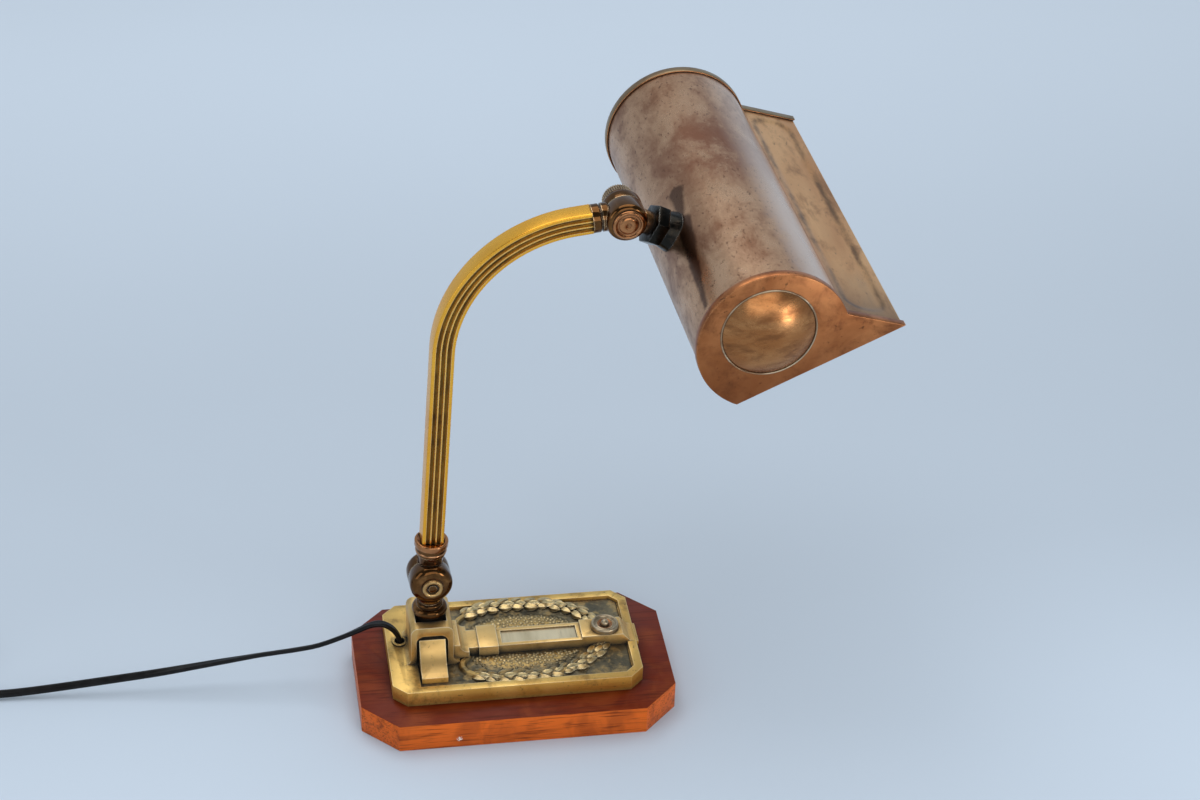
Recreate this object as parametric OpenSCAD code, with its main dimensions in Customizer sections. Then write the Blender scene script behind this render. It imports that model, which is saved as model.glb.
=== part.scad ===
// Desk lamp with a wooden plinth, a cast brass base plate, a bent reeded arm on two knuckle joints
// and a tubular sheet shade with a visor. Millimetres, +Z up, origin at the middle of the plinth's
// underside. X runs along the plinth, with the arm's foot at its -X end. The arm and the shade are drawn
// in the arm's own frame: u along the arm, v across it, z up, swung about the foot's upright axis.

/* [Plinth] */
// Length of the wooden plinth
plinth_l = 200; // [185:1:230]
// Width of the wooden plinth
plinth_w = 118; // [108:1:140]
// Height of the wooden plinth
plinth_h = 19.5; // [17:0.5:26]
// Corner cut of the plinth along each edge
plinth_cut = 22; // [14:0.5:28]

/* [Base plate] */
// Length of the brass base plate
plate_l = 159; // [154:1:176]
// Width of the brass base plate
plate_w = 88.5; // [84:0.5:100]
// Height of the plate's rim above the plinth
plate_h = 10.5; // [10:0.5:14]
// Corner cut of the plate along each edge
plate_cut = 8.6; // [6:0.2:12]
// How far the plate lies behind the plinth's middle
plate_shift = 4.5; // [0:0.5:6]
// Side wall of the hollow casting
plate_wall = 3.5; // [2.5:0.1:4.5]
// Thickness of the casting's top at its rim
plate_top = 5; // [4:0.1:5]
// Depth of the sunken field
field_depth = 2.4; // [1.5:0.1:2.8]
// Width of the rim round the field
rim_w = 5.5; // [4:0.1:7]

/* [Pedestal] */
// Distance of the foot's axis from the plate's left edge
foot_inset = 27; // [25:0.5:30]
// Width of the pedestal along the plate
ped_w = 27; // [25:0.5:30]
// Depth of the pedestal across the plate
ped_d = 33; // [31:0.5:36]
// Height of the pedestal above the rim
ped_h = 28.5; // [24:0.5:34]
// Radius of the pedestal's shoulders
shoulder_r = 5; // [2:0.1:6]
// Width of the square pocket in the pedestal's top
pocket_w = 19.5; // [18:0.1:20.5]
// Depth of the pocket
pocket_depth = 7.5; // [5:0.1:9]
// Thickness of the pocket's floor
floor_t = 4.5; // [3:0.1:6]
// Width of the console on the pedestal's front and back
console_w = 16.5; // [12:0.5:18]
// Height of the console above the rim
console_h = 18.5; // [15:0.5:20]
// Reach of the console past the pedestal's face
console_reach = 17; // [12:0.5:20]

/* [Strap] */
// Width of the strap along the plate
strap_w = 17.7; // [14:0.1:20]
// Height of the strap above the rim
strap_h = 4; // [3:0.1:5]
// Length of the strap's end plate
end_plate_l = 35; // [32:0.5:38]
// Height of the end plate above the rim
end_plate_h = 6; // [5:0.1:7]
// Distance of the switch's axis from the plate's right edge
switch_inset = 19.3; // [17:0.1:21]

/* [Switch] */
// Radius of the switch's bezel ring
bezel_r = 8.8; // [7.5:0.1:9.2]
// Height of the bezel ring
bezel_h = 3.5; // [2.5:0.1:5]
// Radius of the push button
button_r = 2.6; // [2:0.1:3]
// Travel of the push button
button_travel = 2.2; // [1.5:0.1:2.4]

/* [Joints] */
// Height of the lower pivot above the pedestal's top
low_pivot_rise = 28.5; // [27:0.5:34]
// Radius of the lower knuckle
low_r = 13.5; // [12.5:0.1:14]
// Length of each half of the lower knuckle
low_half = 12; // [10:0.5:14]
// Radius of the upper knuckle
up_r = 12.2; // [11.5:0.1:12.8]
// Length of the upper knuckle's front half
up_front = 12.5; // [10:0.5:14]
// Length of the upper knuckle's back half
up_back = 9; // [8:0.5:11]
// Radius of both pivot screws
pin_r = 3.5; // [3:0.1:4]
// Radius of the thumb knob
knob_r = 9.5; // [8:0.1:11]

/* [Arm] */
// Swing of the arm about the foot's upright axis
arm_turn = 3.2; // [-15:0.1:15]
// Lean of the arm's straight part from upright
arm_lean = 2.8; // [0:0.1:6]
// Width of the arm's bar in its plane
arm_w = 13.7; // [12.5:0.1:14.2]
// Thickness of the arm's bar across its plane
arm_t = 12.4; // [11.6:0.1:13]
// Distance from the lower pivot to the bend
arm_straight = 169; // [140:1:200]
// Radius of the bend at the bar's middle
arm_bend_r = 86.4; // [70:0.1:110]
// Sweep of the bend
arm_sweep = 82; // [76:0.5:86]
// Straight end after the bend
arm_tail = 10; // [6:0.5:16]
// Length of the upper ferrule, from the arm's end to the upper pivot
ferrule_l = 19.5; // [19:0.1:24]

/* [Shade] */
// Radius of the shade's tube
tube_r = 44.2; // [41:0.1:48]
// Thickness of the shade's sheet
sheet_t = 1; // [0.8:0.1:1.2]
// Step of the end plates' edge over the sheet
edge_step = 1.2; // [0.8:0.1:1.6]
// Thickness of the end plates
end_t = 1.6; // [1.2:0.1:2.4]
// Width of the end plates' turned rim
end_rim = 4; // [2:0.5:6]
// Shade length from the stem to the near end
near_l = 96.2; // [90:0.1:110]
// Shade length from the stem to the far end
far_l = 153.8; // [140:0.1:170]
// Distance from the upper pivot to the tube's skin
stem_l = 32.3; // [31.5:0.1:38]
// Slope of the stem below level
stem_slope = 27.5; // [10:0.5:45]
// Tilt of the shade's open face from level
mouth_tilt = 24.3; // [10:0.1:40]
// Distance of the open face below the tube's axis
mouth_drop = 29.3; // [26:0.1:32]
// Reach of the visor's tip from the tube's axis, along the open face
visor_reach = 73.1; // [68:0.1:78]
// Slope of the visor to the open face
visor_slope = 42.1; // [38:0.1:46]
// Radius of the domes on the end plates
dome_r = 27.6; // [24:0.1:30]
// Height of the domes
dome_h = 9; // [6:0.1:12]

/* [Lampholder and bulb] */
// Radius of the lampholder
holder_r = 19; // [17:0.1:21]
// Length of the lampholder
holder_l = 44; // [40:0.5:46]
// Radius of the tubular bulb
bulb_r = 15; // [14:0.1:17]
// Length of the bulb's glass
bulb_l = 128; // [100:1:150]

/* [Cord] */
// Width of the flat twin cord
cord_w = 5.2; // [4.8:0.1:5.3]
// Thickness of the flat twin cord
cord_t = 3; // [2.6:0.1:3.1]

/* [Hidden] */
$fn = 64;

// Shared small values
eps = 0.01;
run_fit = 0.05;
seat_gap = 0.1;
half_gap = 0.15;
swing_gap = 0.5;
hex_sides = 6;

// Heights
rim_z = plinth_h + plate_h;
ped_z = rim_z + ped_h;
pocket_z = ped_z - pocket_depth;
hollow_z = rim_z - plate_top;
foot_x = foot_inset - plate_l / 2;
foot_y = plate_shift;
low_p = [0, ped_z + low_pivot_rise];

// Plate fixing screws
screw_r = 2;
screw_head_r = 4;
screw_head_h = 2.5;
screw_sink = 6;
screw_seat_r = 5;
screw_in = [17.5, 14];
pillar_r = 4.6;
screw_clear = 0.05;
screw_play = 0.2;

// Field, strap and pedestal details
field_in = 4;
field_x = foot_x - ped_w / 2 + field_in;
flare_r = 4;
recess_w = 20;
recess_depth = 3.5;
recess_rise = 1.5;
slot_h = 2;
console_lip = 1.8;
console_arc = 26;
console_crown = 2.9;
ped_hollow_w = 21;
ribbon_l = 10.5;
ribbon_w = 26;
ribbon_h = 10;
block_in = 30.5;
block_l = 12.5;
block_w = 22;
block_h = 5.5;
panel_border = 2.8;
panel_depth = 1.2;
tongue_bend = 8.5;
tongue_l = 4.5;
tongue_over = 1.5;
tongue_drop = 0.5;
tongue_lift = 1;
tongue_t = 3;

// Switch details
switch_x = plate_l / 2 - switch_inset;
sleeve_r = 5.5;
sleeve_bore = 4.2;
dish_r = 6.6;
dish_depth = 1.6;
switch_body_l = 22;
switch_body_w = 16;
switch_body_h = 11;
switch_play = 1;
nut_ring_r = 7.5;
nut_ring_h = 2;
button_rise = 2;
button_collar_r = 3.9;
button_collar_h = 1.6;
spring_wire = 0.6;
spring_r = 3.2;
end_plate_z = rim_z + end_plate_h;
switch_top_z = hollow_z - nut_ring_h;
bezel_lid = 1.4;
collar_z = end_plate_z + bezel_h - dish_depth - bezel_lid - button_collar_h;
spring_turns = 7;
spring_steps = 14;
spring_sides = 6;

// Eyelet and grip
eyelet_inset = 8.5;
eyelet_shift = 7.2;
eyelet_r = 4.4;
eyelet_bore = 3.2;
eyelet_rim_r = 4.9;
eyelet_rim_h = 1.2;
eyelet_x = eyelet_inset - plate_l / 2;
eyelet_y = plate_shift + eyelet_shift;
grip_l = 7;
grip_w = 22;
grip_h = 3.2;
grip_drop = 4;
grip_z = hollow_z - grip_drop;
grip_screw_r = 1.5;
grip_screw_head = 2.8;
grip_screw_head_h = 0.9;
grip_screw_at = 8;
grip_screw_in = 2;

// Foot
nipple_r = 5;
foot_stem_r = 8.5;
flange_r = 11.2;
flange_bead = 3.6;
flange_lift = 0.7;
neck_r = 7.2;
foot_bead_r = 8.6;
foot_bead = 1.6;
foot_bead_lift = 1;
foot_shoulder = 2.2;
foot_neck_r = 8;
foot_washer_r = 9.4;
foot_washer_t = 2;
foot_nut_r = 9.6;
foot_nut_h = 6;
nipple_spare = 2;
foot_floor_z = pocket_z - floor_t;
flange_z = ped_z + flange_lift + flange_bead;

// Lower knuckle
low_round = 5;
low_head_r = 6.6;
low_head_t = 2.2;
low_socket_r = 3.7;
low_socket_depth = 1.8;
low_nut_t = 4;
low_neck_r = 8;
low_cup_r = 9.4;
low_cup_at = 19.5;
arm_start = 25.5;
low_ring_r = 9.9;
low_ring_bead = 2.2;
low_rim_r = 10.6;
low_rim_h = 4;
rim_fit = 0.1;

// Arm section
flute_r = 1.3;
flute_pitch = 3.4;
flute_side = [-1, 0, 1];
arm_bore = 4;
spigot_r = 3.9;
spigot_l = 8;
wire_bore = 2.5;
arm_lap = 0.4;

// Arm path in its own plane
arm_dir = 90 - arm_lean;
bend_start = low_p + arm_straight * [cos(arm_dir), sin(arm_dir)];
bend_mid = bend_start + arm_bend_r * [sin(arm_dir), -cos(arm_dir)];
bend_from = arm_dir + 90 - arm_sweep;
tail_dir = bend_from - 90;
bend_end = bend_mid + arm_bend_r * [cos(bend_from), sin(bend_from)];
arm_end = bend_end + arm_tail * [cos(tail_dir), sin(tail_dir)];
up_p = arm_end + ferrule_l * [cos(tail_dir), sin(tail_dir)];

// Upper knuckle
up_round = 3;
ferrule_r = 8.6;
ferrule_ring = 5;
ferrule_groove = 1;
ferrule_groove_r = 7.4;
ferrule_neck_r = 6.8;
up_head_r = 9.4;
up_head_t = 2;
up_dish_r = 7.6;
up_dish_depth = 1;
up_boss_r = 4.2;
knob_gap = 0.3;
knob_hub_r = 6;
knob_hub_l = 2;
knob_l = 8;
knob_dome = 2;

// Stem
stem_dir = -stem_slope;
stem_r = 5;
stem_neck_r = 7;
stem_nut_at = 17.5;
stem_nut_h = 8;
stem_nut_r = 13;
saddle_r0 = 10.5;
saddle_r1 = 12.5;
stem_play = 0.1;
stem_reach = stem_l + tube_r;
tube_c = up_p + stem_reach * [cos(stem_dir), sin(stem_dir)];
stem_at = 180 - stem_slope - mouth_tilt;

// Shade section, in a frame whose x axis runs along the open face
edge_r = tube_r + edge_step;
visor_n = visor_reach * sin(visor_slope) - mouth_drop * cos(visor_slope);
visor_a = visor_reach * cos(visor_slope) + mouth_drop * sin(visor_slope);
big = 200;
dome_ring_r = dome_r + 0.7;
dome_ring_t = 0.7;
dome_t = 1;
dome_sphere = (dome_r * dome_r + dome_h * dome_h) / (2 * dome_h);
dome_y = (edge_r - mouth_drop) / 2;

// Bracket, lampholder and bulb
bracket_t = 1.5;
bracket_w = 14;
bracket_over = 9;
bracket_neck = 0.8;
inner_r = tube_r - sheet_t;
bracket_at = sqrt(inner_r * inner_r - bracket_w * bracket_w / 4) - seat_gap;
inner_nut_h = 4.5;
inner_nut_r = 8.5;
stem_spare = 1.5;
stem_end = stem_reach - bracket_at + bracket_t + inner_nut_h + stem_spare;
holder_y = 4;
holder_gap = 5.1;
holder_at = near_l - end_t - holder_gap - holder_l - bracket_t;
paddle_r = 17;
holder_cap_r = 15;
holder_shoulder = 12;
ring_r = 18.2;
ring_l = 5;
cap_r = 13;
cap_l = 26;
cap_set = 4;
holder_bore = cap_r + seat_gap;
glass_t = 1;
glass_neck_r = cap_r - glass_t / 4;
glass_neck_l = 8;

// Cord route, chosen by hand, from the grip inside the plate to the coil past the plinth's left
cord_points = [
    [-71, 11.7, 24.2], [-71, 11.7, 29], [-71.4, 11.7, 33], [-73, 11.7, 37.2], [-76, 11.8, 41.5],
    [-80, 12, 44.6], [-84.5, 12.2, 45.8], [-90.5, 12.5, 44.4], [-97.5, 12.7, 41], [-106, 13.1, 36.8],
    [-122, 13.7, 30.6], [-135, 14.3, 28], [-148, 14.8, 26.3], [-160, 15.3, 24.8], [-173, 15.8, 22.8],
    [-186, 16.3, 20.8], [-199, 16.8, 18.7], [-212, 17.3, 16.6], [-225, 17.8, 14.6], [-238, 18.4, 12.8],
    [-251, 18.9, 11.2], [-264, 19.4, 9.6], [-277, 19.9, 8], [-290, 20.4, 6.5], [-303, 20.9, 5.1],
    [-316, 21.4, 4], [-329, 21.8, 3.6], [-342, 22, 3.6], [-355, 22, 3.6], [-369, 22, 3.6]];
cord_size = [cord_w, cord_t];
cord_twist_from = 26;
cord_sides = 8;
cord_free = 10;
cord_end = cord_points[len(cord_points) - 1];

// the route starts on the grip: it moves with the eyelet, and its first stretch with the plate's height
cord_shift = [eyelet_x, eyelet_y, grip_z + grip_h] - cord_points[0];
cord_low = 25;
function cord_drop(i) = cord_shift[2] * max(0, min(1, (cord_low - i) / (cord_low - cord_free)));
cord_route = [for (i = [0 : len(cord_points) - 1])
    cord_points[i] + [cord_shift[0], cord_shift[1], cord_drop(i)]];

// Coil of the cord's spare length, wound on edge in two layers
coil_turns = 8.25;
coil_pitch = 3.6;
coil_r = 35.4;
coil_steps = 24;
coil_sides = 6;
coil_z = 3.6;
coil_layer = 5.8;
coil_x = cord_end[0] + cord_shift[0] - cord_w;
coil_y = cord_end[1] + cord_shift[1] + coil_r;
coil_lead = [[10, 9.2], [20, 8.4], [28, 8], [34, 8]];
tie_clear = 0.35;
tie_t = 0.6;
tie_w = 8;
tie_at = 70;

// Plug
plug_l = 38;
plug_w = 32;
plug_t = 16;
plug_round = 7;
plug_sleeve_r = 5;
plug_sleeve_l = 9;
plug_pin_r = 2;
plug_pin_l = 19;
plug_pin_at = 9.5;
plug_pin_in = 6;

// Placing helpers

module in_arm() {
    translate([foot_x, foot_y, 0]) rotate([0, 0, arm_turn]) children();
}

// local z runs along a direction in the arm's plane, local y across it
module along(p, dir) {
    translate([p[0], 0, p[1]]) rotate([0, 90 - dir, 0]) children();
}

// local x and y lie in the arm's plane, local z runs towards the near side
module across(p) {
    translate([p[0], 0, p[1]]) rotate([90, 0, 0]) children();
}

// local x along the open face, y towards the tube's top, z towards the near end
module in_shade() {
    in_arm() across(tube_c) rotate([0, 0, mouth_tilt]) children();
}

// local z runs from the tube's axis out along the stem
module on_stem() {
    in_arm() along(up_p, stem_dir) children();
}

module in_switch() {
    translate([switch_x, plate_shift, 0]) children();
}

// Shared shapes

function cut_corners(l, w, c) = [
    [-l / 2, c - w / 2], [c - l / 2, -w / 2], [l / 2 - c, -w / 2], [l / 2, c - w / 2],
    [l / 2, w / 2 - c], [l / 2 - c, w / 2], [c - l / 2, w / 2], [-l / 2, w / 2 - c]];

module plate_outline(inset) {
    polygon(cut_corners(plate_l - 2 * inset, plate_w - 2 * inset, plate_cut - inset * (2 - sqrt(2))));
}

module tube(r, bore, h) {
    difference() {
        cylinder(r = r, h = h);
        translate([0, 0, -eps]) cylinder(r = bore, h = h + 2 * eps);
    }
}

module hex_nut(r, bore, h) {
    difference() {
        cylinder(r = r, h = h, $fn = hex_sides);
        translate([0, 0, -eps]) cylinder(r = bore, h = h + 2 * eps);
    }
}

// round drum with one rounded end, standing on its flat end
module drum(r, l, round_r) {
    rotate_extrude() {
        square([r - round_r, l]);
        square([r, l - round_r]);
        translate([r - round_r, l - round_r]) intersection() {
            circle(round_r);
            square(round_r);
        }
    }
}

// ring of round section
module bead(r, bead_r) {
    rotate_extrude() translate([r - bead_r, 0]) circle(bead_r);
}

module plate_pattern() {
    for (sx = [-1, 1], sy = [-1, 1])
        translate([sx * (plate_l / 2 - screw_in[0]), plate_shift + sy * (plate_w / 2 - screw_in[1]), 0])
            children();
}

// Base

module plinth() {
    color("saddlebrown") difference() {
        linear_extrude(plinth_h) polygon(cut_corners(plinth_l, plinth_w, plinth_cut));
        plate_pattern() {
            translate([0, 0, -eps]) cylinder(r = screw_seat_r, h = screw_sink + eps);
            cylinder(r = screw_r + screw_play, h = plinth_h + eps);
        }
        in_switch() translate([0, 0, plinth_h - switch_recess()])
            linear_extrude(switch_recess() + eps)
                square([switch_body_l + 2 * switch_play, switch_body_w + 2 * switch_play], center = true);
    }
}

function switch_recess() = max(0, plinth_h - switch_top_z + switch_body_h) + switch_play;

// arch-shaped section of the pedestal, standing on the rim
module arch(w, h, r) {
    translate([-w / 2, 0]) square([w, h - r]);
    translate([r - w / 2, 0]) square([w - 2 * r, h]);
    for (s = [-1, 1]) translate([s * (w / 2 - r), h - r]) circle(r);
}

module pedestal_section() {
    arch(ped_w, ped_h, shoulder_r);
    for (s = [-1, 1]) translate([s * ped_w / 2, 0]) difference() {
        translate([-flare_r / 2, 0]) translate([s * flare_r / 2, 0]) square(flare_r);
        translate([s * flare_r, flare_r]) circle(flare_r);
    }
}

// centre of the console's hollow arc, through its crown and its lip
function console_mid(p, q) =
    let (m = (p + q) / 2, d = q - p, half = norm(d) / 2)
    let (rise = sqrt(console_arc * console_arc - half * half))
    m + rise * [-d[1], d[0]] / norm(d);

module console() {
    depth = console_reach + recess_depth;
    mid = console_mid([console_crown, console_h], [depth, console_lip]);
    difference() {
        square([depth, console_h]);
        translate(mid) circle(console_arc);
    }
}

// ground of the pedestal and its consoles, down to the sunken field
module pedestal_ground() {
    translate([foot_x, plate_shift, rim_z - field_depth / 2]) {
        cube([ped_w + 2 * flare_r, ped_d, field_depth + 2 * eps], center = true);
        cube([console_w, ped_d + 2 * console_reach, field_depth + 2 * eps], center = true);
    }
}

module pedestal() {
    pedestal_ground();
    translate([foot_x, plate_shift, rim_z]) difference() {
        translate([0, ped_d / 2, 0]) rotate([90, 0, 0]) linear_extrude(ped_d) pedestal_section();
        for (s = [0, 1]) mirror([0, s, 0]) translate([0, recess_depth - ped_d / 2, 0])
            rotate([90, 0, 0]) linear_extrude(recess_depth + eps) {
                arch(recess_w, console_h + recess_rise + slot_h, shoulder_r);
            }
    }
    for (s = [0, 1]) translate([foot_x, plate_shift, rim_z]) mirror([0, s, 0])
        translate([-console_w / 2, recess_depth - ped_d / 2, 0]) rotate([90, 0, 90]) mirror([1, 0, 0])
            linear_extrude(console_w) console();
}

module strap_box(x, l, w, h) {
    translate([x, plate_shift - w / 2, rim_z - field_depth - eps]) cube([l, w, h + field_depth + eps]);
}

module strap() {
    ribbon_x = foot_x + ped_w / 2;
    end_x = plate_l / 2 - end_plate_l;
    strap_x = foot_x + block_in + block_l;
    difference() {
        strap_box(ribbon_x, ribbon_l, ribbon_w, ribbon_h);
        translate([ribbon_x + ribbon_l, 0, rim_z + ribbon_h]) rotate([90, 0, 0])
            cylinder(r = ribbon_h - strap_h, h = big, center = true);
        translate([ribbon_x + ribbon_h - strap_h, 0, rim_z + ribbon_h]) rotate([90, 0, 0])
            translate([0, 0, -big / 2]) cube([ribbon_l, ribbon_h - strap_h, big]);
    }
    strap_box(ribbon_x + ribbon_l - eps, block_in - ped_w / 2 - ribbon_l + 2 * eps, strap_w, strap_h);
    strap_box(foot_x + block_in, block_l, block_w, block_h);
    difference() {
        strap_box(strap_x - eps, end_x - strap_x + 2 * eps, strap_w, strap_h);
        translate([strap_x, plate_shift - strap_w / 2, rim_z + strap_h - panel_depth])
            translate([panel_border, panel_border, 0])
                cube([end_x - strap_x - 2 * panel_border, strap_w - 2 * panel_border, panel_depth + eps]);
    }
    tongue();
}

// end plate of the strap, bent down over the plate's right edge
module tongue() {
    end_x = plate_l / 2 - end_plate_l;
    bend_x = plate_l / 2 - tongue_bend;
    tip_x = plate_l / 2 + tongue_over;
    low_z = -tongue_drop;
    translate([0, plate_shift + strap_w / 2, rim_z]) rotate([90, 0, 0]) linear_extrude(strap_w)
        polygon([[end_x, -field_depth - eps], [end_x, end_plate_h], [bend_x, end_plate_h],
                 [bend_x + tongue_l, low_z + tongue_lift], [tip_x, low_z], [tip_x, low_z - tongue_t],
                 [plate_l / 2 - eps, low_z - tongue_t], [plate_l / 2 - eps, -field_depth - eps]]);
}

module base_plate() {
    color("darkgoldenrod") difference() {
        union() {
            difference() {
                translate([0, plate_shift, plinth_h]) linear_extrude(plate_h) plate_outline(0);
                translate([0, plate_shift, rim_z - field_depth]) linear_extrude(field_depth + eps)
                    intersection() {
                        plate_outline(rim_w);
                        translate([field_x, -big / 2]) square([big, big]);
                    }
            }
            pedestal();
            strap();
        }
        difference() {
            translate([0, plate_shift, plinth_h - eps]) linear_extrude(hollow_z - plinth_h + eps)
                plate_outline(plate_wall);
            plate_pattern() cylinder(r = pillar_r, h = rim_z);
        }
        translate([foot_x - ped_hollow_w / 2, foot_y - ped_hollow_w / 2, plinth_h])
            cube([ped_hollow_w, ped_hollow_w, foot_floor_z - plinth_h]);
        translate([foot_x - pocket_w / 2, foot_y - pocket_w / 2, pocket_z])
            cube([pocket_w, pocket_w, pocket_depth + eps]);
        translate([foot_x, foot_y, plinth_h]) cylinder(r = nipple_r + run_fit, h = ped_h + plate_h);
        plate_pattern() translate([0, 0, plinth_h - eps])
            cylinder(r = screw_r + screw_clear, h = hollow_z - plinth_h + eps);
        in_switch() translate([0, 0, plinth_h]) cylinder(r = sleeve_r + screw_clear, h = big);
        translate([eyelet_x, eyelet_y, 0]) {
            translate([0, 0, plinth_h]) cylinder(r = eyelet_r + screw_clear, h = plate_h + flare_r);
            translate([0, 0, rim_z]) cylinder(r = eyelet_rim_r + screw_clear, h = flare_r + eps);
        }
        for (s = [-1, 1]) translate([eyelet_x, eyelet_y + s * grip_screw_at, hollow_z - eps])
            cylinder(r = grip_screw_r + screw_clear, h = grip_screw_in + screw_clear + eps);
    }
}

module plate_screws() {
    color("dimgray") plate_pattern() {
        translate([0, 0, screw_sink - screw_head_h]) cylinder(r = screw_head_r, h = screw_head_h);
        translate([0, 0, screw_sink - eps]) cylinder(r = screw_r, h = hollow_z - screw_sink - seat_gap);
    }
}

module cord_eyelet() {
    color("gray") translate([eyelet_x, eyelet_y, 0]) {
        translate([0, 0, rim_z]) tube(eyelet_rim_r, eyelet_bore, eyelet_rim_h);
        translate([0, 0, hollow_z]) tube(eyelet_r, eyelet_bore, plate_top + eps);
    }
}

// clamp bar under the plate, with a spacer at each screw
module cord_grip() {
    color("dimgray") translate([eyelet_x, eyelet_y, 0]) difference() {
        union() {
            translate([-grip_l / 2, -grip_w / 2, grip_z]) cube([grip_l, grip_w, grip_h]);
            for (s = [-1, 1]) translate([-grip_l / 2, s * grip_screw_at - grip_l / 2, grip_z])
                cube([grip_l, grip_l, hollow_z - grip_z]);
        }
        for (s = [-1, 1]) translate([0, s * grip_screw_at, grip_z - eps])
            cylinder(r = grip_screw_r + screw_clear, h = hollow_z);
    }
}

module grip_screws() {
    color("silver") for (s = [-1, 1]) translate([eyelet_x, eyelet_y + s * grip_screw_at, 0]) {
        translate([0, 0, grip_z - grip_screw_head_h]) cylinder(r = grip_screw_head, h = grip_screw_head_h);
        translate([0, 0, grip_z - eps]) cylinder(r = grip_screw_r, h = hollow_z - grip_z + grip_screw_in);
    }
}

// Switch

module switch_bezel() {
    sleeve_l = end_plate_z - switch_top_z;
    color("silver") in_switch() difference() {
        union() {
            translate([0, 0, end_plate_z]) cylinder(r = bezel_r, h = bezel_h);
            translate([0, 0, switch_top_z]) cylinder(r = sleeve_r, h = sleeve_l + eps);
        }
        translate([0, 0, end_plate_z + bezel_h - dish_depth])
            cylinder(r1 = dish_r - dish_depth, r2 = dish_r, h = dish_depth + eps);
        translate([0, 0, switch_top_z - eps])
            cylinder(r = sleeve_bore, h = collar_z + button_collar_h + seat_gap - switch_top_z + eps);
        translate([0, 0, switch_top_z]) cylinder(r = button_r + run_fit, h = big);
    }
}

module switch_body() {
    color("black") in_switch() translate([0, 0, switch_top_z - switch_body_h]) difference() {
        linear_extrude(switch_body_h) square([switch_body_l, switch_body_w], center = true);
        translate([0, 0, switch_body_h - switch_play]) cylinder(r = sleeve_bore, h = switch_play + eps);
    }
}

module switch_nut() {
    color("silver") in_switch() translate([0, 0, hollow_z - nut_ring_h])
        hex_nut(nut_ring_r, sleeve_r + screw_clear, nut_ring_h);
}

// return spring, wound between its seat and the button's collar
module switch_spring() {
    low = switch_top_z - switch_play + spring_wire / 2;
    high = collar_z - seat_gap - spring_wire / 2;
    mid_r = spring_r - spring_wire / 2;
    count = spring_turns * spring_steps;
    path = [for (i = [0 : count])
        let (a = 360 * i / spring_steps) [mid_r * cos(a), mid_r * sin(a), low + (high - low) * i / count]];
    rings = [for (i = [0 : count])
        ring(path[i], tangent(path, i), [0, 0, 1], [spring_wire, spring_wire], spring_sides)];
    color("silver") in_switch() sweep(rings, spring_sides);
}

module button() {
    top_z = end_plate_z + bezel_h + button_rise;
    color("gainsboro") in_switch() {
        translate([0, 0, collar_z]) cylinder(r = button_collar_r, h = button_collar_h);
        translate([0, 0, collar_z]) cylinder(r = button_r, h = top_z - button_r - collar_z);
        translate([0, 0, top_z - button_r]) sphere(button_r);
    }
}

// Foot and lower joint

module foot() {
    stem_z = pocket_z + seat_gap;
    nipple_z = foot_floor_z - foot_washer_t - foot_nut_h - nipple_spare;
    color("sienna") in_arm() {
        difference() {
            union() {
                translate([0, 0, nipple_z]) cylinder(r = nipple_r, h = stem_z - nipple_z + eps);
                translate([0, 0, stem_z]) cylinder(r = foot_stem_r, h = flange_z - stem_z);
                translate([0, 0, flange_z]) {
                    bead(flange_r, flange_bead);
                    translate([0, 0, -flange_bead])
                        cylinder(r = flange_r - flange_bead, h = 2 * flange_bead);
                }
                translate([0, 0, flange_z]) cylinder(r = neck_r, h = low_p[1] - low_r - flange_z);
                translate([0, 0, flange_z + flange_bead + foot_bead_lift]) bead(foot_bead_r, foot_bead);
                translate([0, 0, low_p[1] - low_r - foot_shoulder])
                    cylinder(r = foot_neck_r, h = low_r + foot_shoulder);
            }
            across(low_p) mirror([0, 0, 1]) translate([0, 0, -half_gap])
                cylinder(r = low_r + swing_gap, h = 2 * foot_neck_r);
            translate([0, 0, nipple_z - eps]) cylinder(r = wire_bore, h = flange_z - nipple_z);
            across(low_p) cylinder(r = pin_r + run_fit, h = low_half + half_gap);
        }
        difference() {
            across(low_p) translate([0, 0, half_gap]) drum(low_r, low_half, low_round);
            across(low_p) cylinder(r = pin_r + run_fit, h = low_half + half_gap + eps);
        }
    }
}

module foot_washer() {
    color("silver") in_arm() translate([0, 0, foot_floor_z - seat_gap - foot_washer_t])
        tube(foot_washer_r, nipple_r + run_fit, foot_washer_t);
}

module foot_nut() {
    color("dimgray") in_arm() translate([0, 0, foot_floor_z - seat_gap - foot_washer_t - foot_nut_h])
        hex_nut(foot_nut_r, nipple_r + run_fit, foot_nut_h);
}

module low_pin() {
    head = half_gap + low_half;
    color("peru") in_arm() across(low_p) difference() {
        union() {
            translate([0, 0, head]) drum(low_head_r, low_head_t, 1);
            translate([0, 0, -head - seat_gap - low_nut_t / 2])
                cylinder(r = pin_r, h = 2 * head + seat_gap + low_nut_t / 2 + eps);
        }
        translate([0, 0, head + low_head_t - low_socket_depth])
            cylinder(r = low_socket_r, h = low_socket_depth + eps, $fn = hex_sides);
    }
}

module low_pin_nut() {
    color("peru") in_arm() across(low_p) mirror([0, 0, 1])
        translate([0, 0, half_gap + low_half + seat_gap]) difference() {
            drum(low_head_r, low_nut_t, 2);
            translate([0, 0, -eps]) cylinder(r = pin_r + run_fit, h = low_nut_t / 2 + seat_gap);
        }
}

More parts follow.
